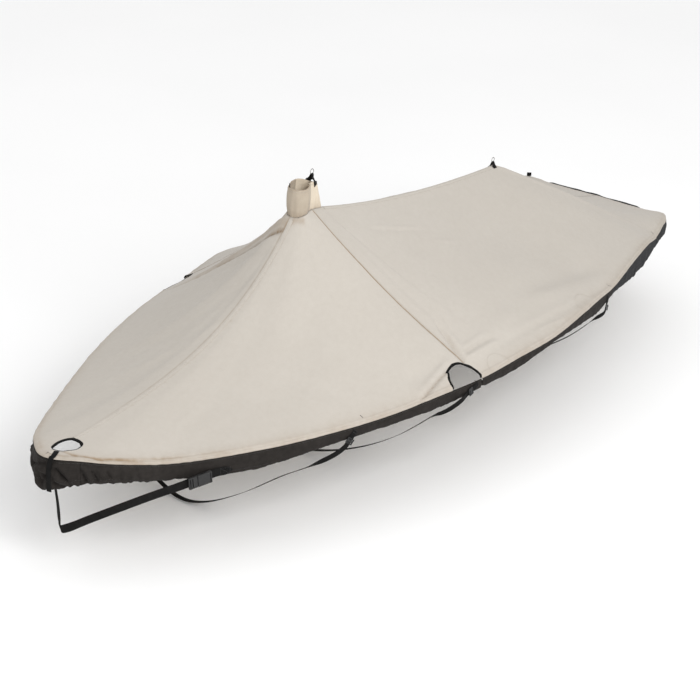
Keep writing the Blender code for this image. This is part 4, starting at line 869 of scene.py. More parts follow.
def sweep(name, path, faces, half_wide, half_high, material, lift=0.0, power=1.0, sides=12,
          cyclic=False, **facts):
    """Closed bar along a path. Its section is a rounded flat oval, square at a low power."""
    count = len(path)
    along = np.roll(path, -1, axis=0) - np.roll(path, 1, axis=0) if cyclic else np.gradient(path, axis=0)
    along = unit(along)
    faces = unit(faces - along * (faces * along).sum(1)[:, None])
    across = np.cross(along, faces)
    a = 2 * np.pi * np.arange(sides) / sides
    wide, high = (np.sign(c) * np.abs(c) ** power for c in (np.cos(a), np.sin(a)))
    girth = wide * np.broadcast_to(half_wide, (count,))[:, None]
    height = high * np.broadcast_to(half_high, (count,))[:, None] + lift
    rings = path[:, None] + across[:, None] * girth[..., None] + faces[:, None] * height[..., None]
    uv = np.stack(np.broadcast_arrays(girth, run_of(path)[:, None]), -1)
    made = tube_faces(count, sides, cyclic)
    if not cyclic:
        made += [tuple(range(sides))[::-1], tuple((count - 1) * sides + q for q in range(sides))]
    return add_piece(name, rings, made, material, uv, **facts)


def strap(name, path, faces, widths, step=0.006, **facts):
    """Flat webbing: the path is the middle of its inner face."""
    widths = np.broadcast_to(widths, (len(path),))[:, None]
    path, faces, widths = resample(path, step, faces, widths)
    return sweep(name, path, unit(faces), widths[:, 0] / 2, WEBBING / 2, BLACK_TAPE,
                 lift=WEBBING / 2, power=0.30, sides=16, slot="black_webbing", **facts)


STITCH_PITCH, STITCH_LONG, STITCH_WIDE, STITCH_HIGH, STITCH_SUNK = 0.0062, 0.0046, 0.0014, 0.0008, 0.0001
LOZENGE = ((0, 2, 1), (0, 3, 2), (0, 1, 3), (7, 4, 5), (7, 5, 6), (7, 6, 4),
           (1, 2, 5, 4), (2, 3, 6, 5), (3, 1, 4, 6))
STITCH_ROWS = {}


def add_row(group, path, normals):
    STITCH_ROWS.setdefault(group, []).append((path, normals))


def sew(group, material):
    """Thread seen on the cloth: one closed lozenge a stitch."""
    points, faces = [], []
    for path, normals in STITCH_ROWS[group]:
        if len(path) < 2:
            continue
        path, normals = resample(path, STITCH_PITCH, normals)
        along, normals = unit(np.gradient(path, axis=0)), unit(normals)
        side = np.cross(along, normals) * STITCH_WIDE / 2
        tip, body = along * STITCH_LONG / 2, along * STITCH_LONG * 0.30
        top, sunk = normals * STITCH_HIGH, normals * STITCH_SUNK
        offsets = (-tip - sunk, -body - side, -body + top, -body + side,
                   body - side, body + top, body + side, tip - sunk)
        bases = len(points) + 8 * np.arange(len(path))
        faces += [tuple(base + i for i in ring) for base in bases.tolist() for ring in LOZENGE]
        points.extend(np.stack([path + offset for offset in offsets], 1).reshape(-1, 3))
    return add_piece(group, points, faces, material)


# ---------------------------------------------------------------- felled seams
def felled_seam(name, base, across, offsets, heights, tree_at, stitch_offsets, group, clear=0.0,
                soil_and_shade=None):
    """Flat-felled strip over a seam, in plan along base and across, laid on the cloth.

    Within clear of the seam the cloth is read at clear, because the two cut edges stand apart.
    Where a rib misses the cloth the strip stops, and starts again beyond.
    """
    lengths = [[]]
    for p, q in zip(base, across):
        rib, rough = [], []
        for offset, height in zip(offsets, heights):
            reach = math.copysign(max(abs(offset), clear), offset)
            hit, normal = drop_on(tree_at(offset), (*(p + q * reach), 1.5))
            if hit is None:
                break
            rib.append(hit + np.append(q * (offset - reach), 0.0) + normal * height)
            rough.append(normal)
        if len(rib) == len(offsets):
            lengths[-1].append((rib, unit(np.mean(rough, axis=0))))
        else:
            lengths.append([])
    points, faces, uvs, run, middle = [], [], [], 0.0, len(offsets) // 2
    for length in lengths:
        if len(length) < 4:
            continue
        ribs, normals = (np.array(column) for column in zip(*length))
        flip = (crossed(ribs)[:, middle] * normals).sum() < 0
        faces.extend(quads(len(ribs), len(offsets), len(points), flip).tolist())
        points.extend(ribs.reshape(-1, 3))
        runs = run + run_of(ribs[:, middle])
        run = runs[-1]
        uvs.extend(np.stack(np.broadcast_arrays(offsets, runs[:, None]), -1).reshape(-1, 2))
        for offset in stitch_offsets:
            add_row(group, [read_at(offset, offsets, rib) for rib in ribs], normals)
    # per-point amounts of soil and painted shade, repeated on every rib
    tint = None if soil_and_shade is None else np.tile(soil_and_shade, len(points) // len(offsets))
    return add_piece(name, points, faces, CANVAS, uvs, soil_and_shade=tint)


SEAMS, SEAM_STEP = {}, 0.005
FELL_OFFSETS = np.array((-0.0160, -0.0153, -0.0100, -0.0050, -0.0009, 0.0009, 0.0028, 0.0034))
FELL_HEIGHTS = np.array((-0.0004, 0.0010, 0.0013, 0.0014, 0.0015, 0.0015, 0.0012, -0.0004))
fore_line = resample(OUTERS["fore", PORT][0], SEAM_STEP)
fore_line = fore_line[(fore_line[:, 0] > 0.006) & (fore_line[:, 0] < 1.486)]
aft_line = ridge_point(np.linspace(0.012, 0.975, 280), PORT)
AFT_SEAM_CLEAR, FELL_STITCHES, SIDE_STITCHES = 0.0026, (-0.0133, -0.0030), (0.0016, 0.0078)
for PART, line, clear in (("fore", fore_line, 0.0), ("aft", aft_line, AFT_SEAM_CLEAR)):
    SEAMS[PART] = felled_seam(
        "centre_seam_" + PART, line[:, :2] * (1.0, 0.0), np.tile((0.0, 1.0), (len(line), 1)),
        FELL_OFFSETS, FELL_HEIGHTS, lambda offset: TREES[PART, STARBOARD if offset > 0 else PORT],
        FELL_STITCHES, "centre_stitches_" + PART, clear)
SIDE_OFFSETS = np.array((-0.0030, -0.0024, 0.0010, 0.0052, 0.0094, 0.0102))
SIDE_HEIGHTS = np.array((-0.0004, 0.0011, 0.0012, 0.0011, 0.0009, -0.0004))
# painted shadow line along the edges of the side seam's strip
SIDE_SEAM_SHADE = np.array((1.6, 1.6, 0.7, 0.0, 0.0, 0.2))
for SIDE, WORD in WORDS.items():
    line = resample(OUTERS["aft", SIDE][0], SEAM_STEP)
    base = line[line[:, 2] > line[-1, 2] + LIP_HEIGHT * 1.1, :2]
    along = unit(np.gradient(base, axis=0))
    across = np.stack((along[:, 1], -along[:, 0]), 1)
    across *= np.where(across[:, :1] < 0, -1.0, 1.0)
    SEAMS["side", SIDE] = felled_seam(
        "side_seam_" + WORD, base, across, SIDE_OFFSETS, SIDE_HEIGHTS,
        lambda offset: TREES["aft" if offset > 0 else "fore", SIDE],
        SIDE_STITCHES, "side_stitches_" + WORD, soil_and_shade=SIDE_SEAM_SHADE)


# ---------------------------------------------------------------- bindings
BINDING_HALF_WIDE, BINDING_HALF_HIGH = 0.0062, 0.0026


def bind(name, outline, sides, lean, closed, fullness=1.0):
    """Tape folded over the cut edge of an opening that is seen along lean."""
    found = np.array([nearest_cloth(side, point) for side, point in zip(sides, outline)])
    hits, normals = found[:, 0], found[:, 1]
    path = outline + lean * ((hits - outline) @ lean)[:, None] - normals * CLOTH / 2
    faces = np.where((normals @ lean)[:, None] > 0, normals, -normals)
    for _ in range(6):
        if closed:
            faces = faces + np.roll(faces, 1, axis=0) + np.roll(faces, -1, axis=0)
            path[:, 2] = (path[:, 2] * 2 + np.roll(path[:, 2], 1) + np.roll(path[:, 2], -1)) / 4
        else:
            faces[1:-1] = faces[1:-1] + faces[:-2] + faces[2:]
        faces = unit(faces)
    wobble = 1.0 + 0.12 * noisy(path, 0.012, 31.0)
    return sweep(name, path, faces, BINDING_HALF_WIDE * wobble * fullness,
                 BINDING_HALF_HIGH * np.sqrt(fullness), BLACK_TAPE,
                 power=0.62, sides=14, cyclic=closed, replaces=[name.replace("tape", "binding")],
                 slot="black_webbing")


ring = forestay_outline(FORESTAY_BIND, 8)
sides = [STARBOARD if y > 0 else PORT for y in ring[:, 1]]
ring[:, 2] = [nearest_cloth(side, (x, math.copysign(max(abs(y), 0.0012), y), 0.03))[0][2]
              for side, (x, y, _) in zip(sides, ring)]
# the binding is turned out along the far edge and rolled under along the near one
far_out = (ring[:, :2] - FORESTAY_CENTRE) @ (0.66, 0.75)
fullness = np.interp(far_out / 0.040, (-0.80, -0.30, 0.0, 0.6), (0.14, 0.30, 1.0, 1.25))
bind("tape_forestay", ring, sides, UP, True, fullness)
for SIDE, WORD in WORDS.items():
    line = resample(shroud_outline(SIDE, SHROUD_BIND, BINDING_RADIUS), 0.004)
    bind("tape_shroud_" + WORD, line, [SIDE] * len(line), shroud_lean(SIDE), False)


# ---------------------------------------------------------------- mast collar
COLLAR_MIDDLE_X, COLLAR_ROWS = 1.56, 49


def collar_piece(name, material, runs, seed, lapped):
    """Length of the collar through (side, share of side); a lapped one goes under the other."""
    grid = []
    for side, t in runs:
        under = -(CLOTH + 0.0008) * ramp(COLLAR_SEAM_T + 0.016 - t, 0.02) if lapped else 0.0
        grid.append(collar_point(t, side, np.linspace(0.0, 1.0, COLLAR_ROWS), under))
    grid = np.array(grid)
    normals = crossed(grid)
    flip = (normals * (grid - (COLLAR_MIDDLE_X, 0, 0)) * (1, 1, 0)).sum() < 0
    normals = turned(normals, flip)
    above, below_top = grid[..., 2] - grid[:, :1, 2], grid[:, -1:, 2] - grid[..., 2]
    run = run_of(grid[:, COLLAR_ROWS // 2])
    around = np.broadcast_to(run[:, None], above.shape)
    soft = noisy(np.stack((around / 0.020, above / 0.110, 0 * above + seed), -1), 1.0, 3.0)
    folds = 0.0016 * soft + 0.0010 * noisy(grid, 0.030, seed)
    gathered = np.sin(2 * np.pi * around / 0.0125 + 2.5 * noisy_line(run, 0.03, seed)[:, None])
    folds = folds + 0.0010 * gathered * np.exp(-above / 0.014)
    hem = 0.0007 / (1 + np.exp((below_top - 0.0125) / 0.0006))
    slack = ramp(run, 0.01) * ramp(run[-1] - run, 0.01)
    moved = grid + normals * (folds * slack[:, None])[..., None]
    # darker at the foot, painted shade where the collar meets the canopy, and darker along the top hem
    soil_and_shade = 0.55 * np.exp(-above / 0.020) + 0.35 * np.exp(-below_top / 0.006)
    obj, outer, _ = sheet_piece("cloth_" + name, moved, normals, STARBOARD if flip else PORT, CLOTH,
                                material, np.stack((around, above), -1), soil_and_shade, hem,
                                replaces=[name], slot="collar_cloth")
    hem_row = int(np.argmin(np.abs(below_top[0] - 0.0112)))
    for rows in (np.s_[:, hem_row], np.s_[:, 1], *(() if lapped else (2, -3, 6, -7))):
        add_row("collar_stitches", outer[rows], normals[rows])
    return obj


# The wrap takes the canvas darkened for painted shade, and the gusset the canvas lightened for painted
# light.
shares = np.linspace(COLLAR_SEAM_T - GAP, 0.0, 61)
runs = [(STARBOARD, t) for t in shares] + [(PORT, t) for t in shares[-2::-1]]
WRAP = collar_piece("collar_wrap", COLLAR_CANVAS_SHADED, runs, 41.0, False)
shares = np.linspace(COLLAR_SEAM_T - 0.040, 1.0, 37)
runs = [(PORT, t) for t in shares] + [(STARBOARD, t) for t in shares[:0:-1]]
GUSSET = collar_piece("collar_gusset", GUSSET_CANVAS_LIT, runs, 43.0, True)


# ---------------------------------------------------------------- skirt
GATHER_END, GATHER_WAVE, GATHER_PITCH, GATHER_DRIFT, GATHER_DRIFT_RATE = 0.230, 0.0045, 0.030, 1.3, 41.0
GATHER_FLAT, GATHER_FULL, TUCK_MOST, TUCK_LEAST, SKIRT_BELLY = 0.013, 0.033, 0.040, 0.014, 0.004
ROUNDED_START, ROUNDED_RUN = 0.62, 0.030
STRAP_SPOTS = ((1.020, 1.110), (1.690, 1.780), (2.900, 2.985), (0.430, 0.600))
LAP, LAP_UNDER, LAP_RUN = 0.008, 0.0024, 0.002      # where one length of skirt is sewn under the next
FREE = 9.0                          # beyond either end of the edge: nothing laps there
SKIRT_COLUMNS, STERN_COLUMNS, SKIRT_ROWS_SEWN = 29, 33, (2, 18)
STERN_RISE = 0.0215                 # the stern length stands up behind the transom's rim
# Drawn folds round the bow: from and to, as distance along the edge (minus is starboard) and
# distance down the cloth, then width and height.
SKIRT_FOLDS = (
    (0.050, 0.006, -0.070, 0.050, 0.006, -0.0050), (0.052, 0.020, -0.060, 0.068, 0.010, 0.0060),
    (0.046, 0.034, -0.020, 0.098, 0.006, -0.0050), (0.000, 0.066, 0.090, 0.116, 0.008, -0.0062),
    (0.018, 0.050, 0.100, 0.092, 0.009, 0.0058), (0.062, 0.046, 0.116, 0.110, 0.005, -0.0070),
    (0.078, 0.036, 0.130, 0.098, 0.008, 0.0045), (-0.052, 0.070, -0.014, 0.126, 0.009, 0.0070),
    (-0.075, 0.062, -0.040, 0.118, 0.006, -0.0060), (-0.110, 0.050, -0.080, 0.104, 0.008, 0.0055),
    (0.148, 0.046, 0.166, 0.094, 0.005, -0.0055), (0.164, 0.040, 0.186, 0.090, 0.006, 0.0040),
    (0.190, 0.048, 0.206, 0.088, 0.005, -0.0050), (0.214, 0.040, 0.236, 0.082, 0.006, 0.0040),
    (0.246, 0.046, 0.262, 0.080, 0.005, -0.0040), (0.300, 0.020, 0.360, 0.070, 0.008, 0.0024),
    (-0.150, 0.046, -0.166, 0.090, 0.006, -0.0050), (-0.196, 0.040, -0.214, 0.086, 0.006, 0.0040),
)


def skirt_surface(side, s, start, columns, rise):
    """Grid of the skirt's inner face, from the gunwale down to the tuck under the rim."""
    foot, out, drop = EDGES[side].at(s)
    if start is not None:
        drop = drop * (ROUNDED_START + (1.0 - ROUNDED_START) * ramp(s - start, ROUNDED_RUN) ** 0.5)
    tuck = np.clip(SKIRT_STRIP - drop, TUCK_LEAST, TUCK_MOST)[:, None]
    off_seam = np.abs(s - EDGES[side].girth_at_x(BOW_CAP_X))
    strength = ramp(s, 0.04) * ramp(GATHER_END - s, 0.05)
    strength *= ramp(off_seam - GATHER_FLAT, GATHER_FULL - GATHER_FLAT)
    phase = 2 * np.pi * s / GATHER_PITCH + GATHER_DRIFT * np.sin(s * GATHER_DRIFT_RATE)
    wave = (GATHER_WAVE * strength * np.sin(phase))[:, None]
    drop, y = drop[:, None], foot[:, 1:2]
    up = ramp(y + 0.33, 0.09) * ramp(0.35 - y, 0.07) * rise
    up = up * (1.0 + 0.12 * noisy_line(y, 0.070, 61.0))
    stops = np.stack((foot + UP * (up - GAP / 2) + out * up * 0.10,
                      foot + out * (0.0030 * up / max(rise, 1e-9)) - UP * 0.0020,
                      foot + out * (SKIRT_BELLY + 0.4 * wave) - UP * drop * 0.45,
                      foot + out * (0.001 + wave) - UP * drop * 0.92,
                      foot + out * (wave - 0.010) - UP * (drop + 0.002),
                      foot - out * (tuck - 0.5 * wave) - UP * (drop - 0.004)), 1)
    runs = [run_of(section) for section in stops]
    grid = np.array([read_at(np.linspace(0, run[-1], columns), run, section)
                     for run, section in zip(runs, stops)])
    for _ in range(5):
        grid[:, 1:-1] = (grid[:, 1:-1] * 2 + grid[:, :-2] + grid[:, 2:]) / 4
    return grid


def skirt_lift(s, x, down, near_corner):
    """Folds, gathers and unevenness of the skirt, on rows along it and columns down it."""
    calm = np.ones(len(x))
    for low, high in STRAP_SPOTS:
        calm = np.minimum(calm, np.clip(np.maximum(low - x, x - high) / 0.03, 0.12, 1))
    bow, far = ramp(0.34 - x, 0.12), np.abs(s)
    slant = far[:, None] + 0.018 * (down - 0.5) * np.sign(np.sin(19.0 * far))[:, None]
    shirr = np.sin(2 * np.pi * slant / 0.037 + 3.0 * noisy_line(s, 0.060, 51.0)[:, None])
    finer = np.sin(2 * np.pi * slant / 0.0165 + 2.8 * noisy_line(s, 0.040, 52.0)[:, None])
    low_down = np.clip((down - 0.30) / 0.35, 0.05, 1) * np.clip((0.98 - down) / 0.35, 0.25, 1)
    lift = (0.0030 * bow * ramp(far, 0.022))[:, None] * (shirr + 0.45 * finer) * low_down
    s_rows = s[:, None]
    pressed = 2.3 * (1.0 - 0.9 * np.exp(-(((s_rows - 0.028) / 0.016) ** 4)))     # flat under the strap
    lift = lift + pressed * fold_field(SKIRT_FOLDS, s_rows, down * (SKIRT_STRIP + 0.025), 0.18)
    bulge = bell(s + 0.075, 0.050) * 0.0080 * (x < 0.4)
    bulge = bulge + bell(x - 4.175, 0.035) * 0.0060 * near_corner
    lift = lift + bulge[:, None] * bell(down - 0.34, 0.24)
    ruffle = noisy_line(s, 0.0125, 53.0) * 0.0013 + noisy_line(s, 0.030, 54.0) * 0.0016
    lift = lift + (ruffle * calm)[:, None] * ramp(down - 0.25, 0.5)
    along = s_rows / 0.050
    drape = noisy(np.stack(np.broadcast_arrays(along, down * 1.1 + 0.5 * along, 0.0), -1), 1.0, 55.0)
    lift = lift + 0.0022 * drape * calm[:, None] * ramp(down, 0.2) * ramp(1 - down, 0.1)
    lift = lift + 0.0009 * bell(down - 0.08, 0.03)
    return np.minimum(lift, 0.0040 + 0.0080 * np.maximum(bow, x > 4.1)[:, None])


def skirt_piece(name, parts, under=(FREE, FREE), rise=0.0):
    """A length of skirt; parts are (side, s values, start of a rounded corner).

    It passes under the next length beyond `under`, measured along the edge to either side.
    """
    columns = STERN_COLUMNS if rise else SKIRT_COLUMNS
    grid = np.concatenate([skirt_surface(*part, columns, rise) for part in parts])
    s = np.concatenate([s * -side for side, s, _ in parts])
    outs = np.concatenate([EDGES[side].at(s)[1] for side, s, _ in parts])
    n = crossed(grid)
    flip = (n[:, 8] * outs).sum() < 0
    n = turned(n, flip)
    down, x = np.linspace(0, 1, columns)[None, :], grid[:, 0, 0]
    lift = skirt_lift(s, x, down, grid[:, 0, 1] < -0.38)
    beyond = np.maximum(s - under[0], -s - under[1])
    lap = ramp(beyond + LAP_RUN, LAP_RUN)[:, None]
    moved = grid + n * ((lift - LAP_UNDER * lap) * np.maximum(lap, ramp(down, 0.05)))[..., None]
    strip = np.linspace(0, SKIRT_STRIP + 0.01, columns)
    uv = np.stack(np.broadcast_arrays(run_of(grid[:, 6])[:, None], strip), -1)
    normals = turned(crossed(moved), flip)
    # Lengths reaching aft of x 3.3 take the paler, bluer fabric of painted sky reflection.
    obj, outer, _ = sheet_piece("cloth_" + name, moved, normals, STARBOARD if flip else PORT,
                                SKIRT_CLOTH, SKIRT_PAINTED_REFLECTION if x.max() > 3.3 else SKIRT_FABRIC, uv,
                                replaces=[name], slot="skirt_cloth")
    for column in SKIRT_ROWS_SEWN:
        add_row("skirt_stitches", outer[:, column], normals[:, column])
    return obj


def evenly(low, high, step):
    count = max(4, int(round((high - low) / step)))
    return np.linspace(low, high, count + count % 2 + 1)


SKIRTS, JOINTS = {}, (BOW_CAP_X, SLIT_X, SKIRT_JOINT_X, SKIRT_STERN_X)
SKIRT_STEP, SLIT_HALF = {PORT: 0.0055, STARBOARD: 0.0085}, 0.004
for SIDE, WORD in WORDS.items():
    s_joint = [EDGES[SIDE].girth_at_x(x) for x in JOINTS]
    for part, low, high in zip(("fore", "mid", "aft"), s_joint, s_joint[1:]):
        start = low + (SLIT_HALF if part == "mid" else GAP / 2)
        end = high - SLIT_HALF if part == "fore" else high + LAP
        run = (SIDE, evenly(start, end, SKIRT_STEP[SIDE]), start if part == "mid" else None)
        name = "skirt_%s_%s" % (part, WORD)
        SKIRTS[name] = skirt_piece(name, [run], (FREE if part == "fore" else high,) * 2)
joints = {side: EDGES[side].girth_at_x(BOW_CAP_X) for side in EDGES}
SKIRTS["bow"] = skirt_piece("skirt_bow_cap", [
    (STARBOARD, evenly(0.0, joints[STARBOARD] + LAP, 0.0040)[::-1], None),
    (PORT, evenly(0.0, joints[PORT] + LAP, 0.0040)[1:], None)], (joints[PORT], joints[STARBOARD]))
port_run, starboard_run = (evenly(edge.girth_at_x(SKIRT_STERN_X) + GAP / 2, edge.length, 0.0065)
                           for edge in (EDGES[PORT], EDGES[STARBOARD]))
SKIRTS["stern"] = skirt_piece("skirt_stern", [
    (PORT, port_run, None), (STARBOARD, starboard_run[::-1][1:], None)], rise=STERN_RISE)


# ---------------------------------------------------------------- webbing
BOW_STRAP_WIDE, BELLY_STRAP_WIDE, SLIT_STRAP_WIDE = 0.045, 0.025, 0.021
BOW_TAB_WIDE, BOW_TAB_POINT = 0.040, 0.006
STRAP_LIFT, ADJUSTER_REACH = 0.0001, 0.025
MIRROR = np.array((1.0, -1.0, 1.0))
# columns: x, half_breadth, z
BOW_STRAP = ((0.430, 0.398, -0.108), (0.370, 0.362, -0.126), (0.300, 0.276, -0.172),
             (0.225, 0.182, -0.226), (0.150, 0.088, -0.281), (0.088, 0.020, -0.321))
BOW_STRAP_STEM, STEM_LEAN = (0.074, 0.0, -0.327), np.array((-0.94, 0.0, -0.33))
# columns: name, tab_x, forward, hang, route of (x, half_breadth, z)
BELLY_STRAPS = (
    ("fore", 1.085, 0.030, 0.052, ((0.990, 0.648, -0.132), (0.930, 0.575, -0.186),
                                   (0.868, 0.480, -0.240), (0.830, 0.300, -0.370),
                                   (0.812, 0.120, -0.470), (0.808, 0.000, -0.498))),
    ("shroud", 1.752, 0.052, 0.032, ((1.640, 0.832, -0.062), (1.600, 0.828, -0.073),
                                     (1.556, 0.806, -0.095), (1.528, 0.750, -0.132),
                                     (1.516, 0.690, -0.186), (1.508, 0.600, -0.262),
                                     (1.502, 0.440, -0.365), (1.498, 0.220, -0.462),
                                     (1.496, 0.000, -0.505))),
    ("stern", 2.958, 0.030, 0.062, ((2.862, 0.768, -0.112), (2.820, 0.715, -0.170),
                                    (2.800, 0.650, -0.228), (2.780, 0.460, -0.350),
                                    (2.768, 0.220, -0.430), (2.764, 0.000, -0.456))),
)
ON_HULL_SHARE, ON_SKIRT_SHARE = 0.93, 0.98


def skirt_face(side, x, share, lift):
    """Point just outside the skirt, this share of the way down it."""
    foot, out, drop = edge_at_x(side, x)
    return foot + out * (SKIRT_BELLY + SKIRT_CLOTH + GAP + lift) - UP * drop * share


def hull_outward(path):
    """Face directions of a strap that lies on the hull's side and turns level at the keel."""
    faces = []
    for i, p in enumerate(path):
        along = path[min(i + 1, len(path) - 1)] - path[max(i - 1, 0)]
        side = PORT if p[1] < 0 else STARBOARD
        foot, out, _ = edge_at_x(side, p[0])
        share = min(1.0, abs(p[1] / foot[1]))
        beside_edge = np.array((out[1] * side, -out[0] * side, 0.0))
        lengthwise = np.array((1.0, 0.0, 0.0)) * (1 - share) + beside_edge * share
        on_skirt = ramp(share - ON_HULL_SHARE, ON_SKIRT_SHARE - ON_HULL_SHARE)
        face = unit(np.cross(along, lengthwise)) * (1 - on_skirt) + out * on_skirt
        faces.append(unit(face - along * (face @ along / (along @ along))))
    return np.array(faces)


def box_stitch(centre, along, face, long, wide, cross=True):
    """Square of stitches, with a cross in it or without, sewn through webbing."""
    across = unit(np.cross(along, face))
    corners = [centre + along * a * long / 2 + across * b * wide / 2
               for a, b in ((-1, -1), (1, -1), (1, 1), (-1, 1))]
    for a, b in ((0, 1), (1, 2), (2, 3), (3, 0)) + (((0, 2), (1, 3)) if cross else ()):
        add_row("strap_stitches", (corners[a], corners[b]), (face, face))


def bow_strap_pieces():
    port = [np.array((x, -half, z)) for x, half, z in BOW_STRAP]
    sewn, sewn_end = skirt_face(PORT, 0.520, 0.74, -0.0003), skirt_face(PORT, 0.575, 0.72, -0.0003)
    starboard = [p * MIRROR for p in (*port[::-1], sewn, sewn_end)]
    path = spline([*port, BOW_STRAP_STEM, *starboard], 10)
    turn = ramp(np.abs(path[:, 1:2]), 0.05)
    flank = (-0.50, 0.84, -0.20) * np.where(path[:, 1:2] < 0, MIRROR, 1.0)
    strap("webbing_bow", path, unit(STEM_LEAN * (1.0 - turn) + flank * turn), BOW_STRAP_WIDE,
          replaces=["bow_strap"])
    # the tab that takes the buckle, sewn to the skirt
    along, face = unit(sewn - port[0]), unit(np.array((-0.42, -0.90, -0.10)))
    path = spline([port[0] + along * 0.020, port[0] + along * 0.045, sewn, sewn_end], 8)
    widths = np.interp(np.linspace(0, 1, len(path)), (0.86, 1.0), (BOW_TAB_WIDE, BOW_TAB_POINT))
    strap("webbing_bow_tab", path, [face] * len(path), widths, replaces=["bow_strap_tab"])
    spot = (sewn + sewn_end) / 2 + face * (WEBBING + 0.0002)
    box_stitch(spot, unit(sewn_end - sewn), face, 0.040, 0.030)


def strap_end(side, tab_x, forward, hang):
    """Where a strap's tab is sewn to the skirt, where the strap hangs from it, and the way down."""
    sewn = skirt_face(side, tab_x, 0.28, STRAP_LIFT)
    low, out, _ = edge_at_x(side, tab_x - forward)
    hung = low + out * (SKIRT_BELLY + SKIRT_CLOTH + STRAP_LIFT + 0.002) - UP * hang
    return sewn, hung, unit(hung - sewn)


def belly_strap_pieces():
    for name, *tab, route in BELLY_STRAPS:
        sewn, hung, down = strap_end(PORT, *tab)
        far_sewn, far_hung, _ = strap_end(STARBOARD, *tab)
        *port, keel = (np.array((x, -half, z)) for x, half, z in route)
        path = spline([hung + down * 0.001, hung + down * ADJUSTER_REACH, *port, keel,
                       *(p * MIRROR for p in reversed(port)), far_hung, far_sewn], 6)
        strap("webbing_belly_" + name, path, hull_outward(path), BELLY_STRAP_WIDE,
              replaces=["belly_strap_" + name])
        path = np.array([sewn, hung - down * ADJUSTER_REACH, hung - down * 0.001])
        faces = hull_outward(path)
        strap("webbing_tab_" + name, path, faces, BELLY_STRAP_WIDE, step=0.004,
              replaces=["strap_tab_" + name])
        box_stitch(sewn + down * 0.007 + faces[-1] * (WEBBING + 0.0001), down, faces[-1],
                   0.011, 0.017, False)


def slit_strap_piece():
    """Strap from inside the forestay opening over the canopy's edge and down the skirt."""
    line = [drop_on(TREES["fore", PORT], (x, y, 1.0))[0]
            for x, y in resample(((0.037, -0.0198), (0.010, -0.0325), (-0.0010, -0.0365)), 0.006)]
    foot, out, _ = edge_at(PORT, 0.034)
    line.append(foot + out * 0.0028 + UP * 0.0010)
    foot, out, drop = edge_at(PORT, 0.027)
    for stand, share in ((SKIRT_BELLY + 0.0040, 0.45), (0.0060, 0.92), (0.0040, 0.985)):
        line.append(foot + out * (SKIRT_CLOTH + stand) - UP * drop * share)
    path = spline(line, 4)
    face = unit(np.cross(unit(np.gradient(path, axis=0)), np.cross(UP, out)))
    if (face @ (out + UP)).sum() < 0:
        face = -face
    strap("webbing_slit", path + face * GAP * 1.2, face, SLIT_STRAP_WIDE, replaces=["slit_strap"])


bow_strap_pieces()
belly_strap_pieces()
slit_strap_piece()


# ---------------------------------------------------------------- lifting tabs and rings
RING_RADIUS, RING_WIRE, RING_TURNS, RING_SIDES = 0.0115, 0.0016, 56, 16
RIDGE_TAB_WIDE, COLLAR_TAB_WIDE, TAB_FOLD_WIDE, TAB_FOLD_RADIUS = 0.026, 0.030, 0.014, 0.0030
FRONT_TAB_WIDE, QUARTER_TIE_WIDE = 0.012, 0.024


def ring_piece(name, node, centre):
    u, w = (2 * np.pi * np.arange(count) / count for count in (RING_TURNS, RING_SIDES))
    wire = (RING_WIRE * (1.0 + 0.10 * bell(u - math.pi * 0.5, 0.10)))[:, None]    # thicker at the weld
    radius = RING_RADIUS + wire * np.cos(w)
    points = np.stack((radius * np.cos(u)[:, None], wire * np.sin(w),
                       radius * np.sin(u)[:, None]), -1) + centre
    faces = [f[:1] + f[:0:-1] for f in tube_faces(RING_TURNS, RING_SIDES, True)]
    return add_piece(name, points, faces, STEEL, replaces=[node], slot="steel")


def lifting_tab(name, node, ring, wide, legs, crest):
    """Webbing folded over a ring: up the port leg, round the fold and down the other leg."""
    angles = math.pi * np.arange(13) / 12
    fold = np.stack((0 * angles, -np.cos(angles), np.sin(angles)), 1)
    line = [*legs[0], *((crest + way * TAB_FOLD_RADIUS, way) for way in fold), *reversed(legs[1])]
    path, faces = (np.array(column) for column in zip(*line))
    low = path[:, 2].min()
    risen = ramp(path[:, 2] - low, crest[2] - low)
    strap(name, path, faces, wide + (TAB_FOLD_WIDE - wide) * risen ** 4, step=0.0025, replaces=[node])
    ring_piece("ring_" + node, ring, crest + UP * (TAB_FOLD_RADIUS - RING_WIRE - GAP * 2 + RING_RADIUS))


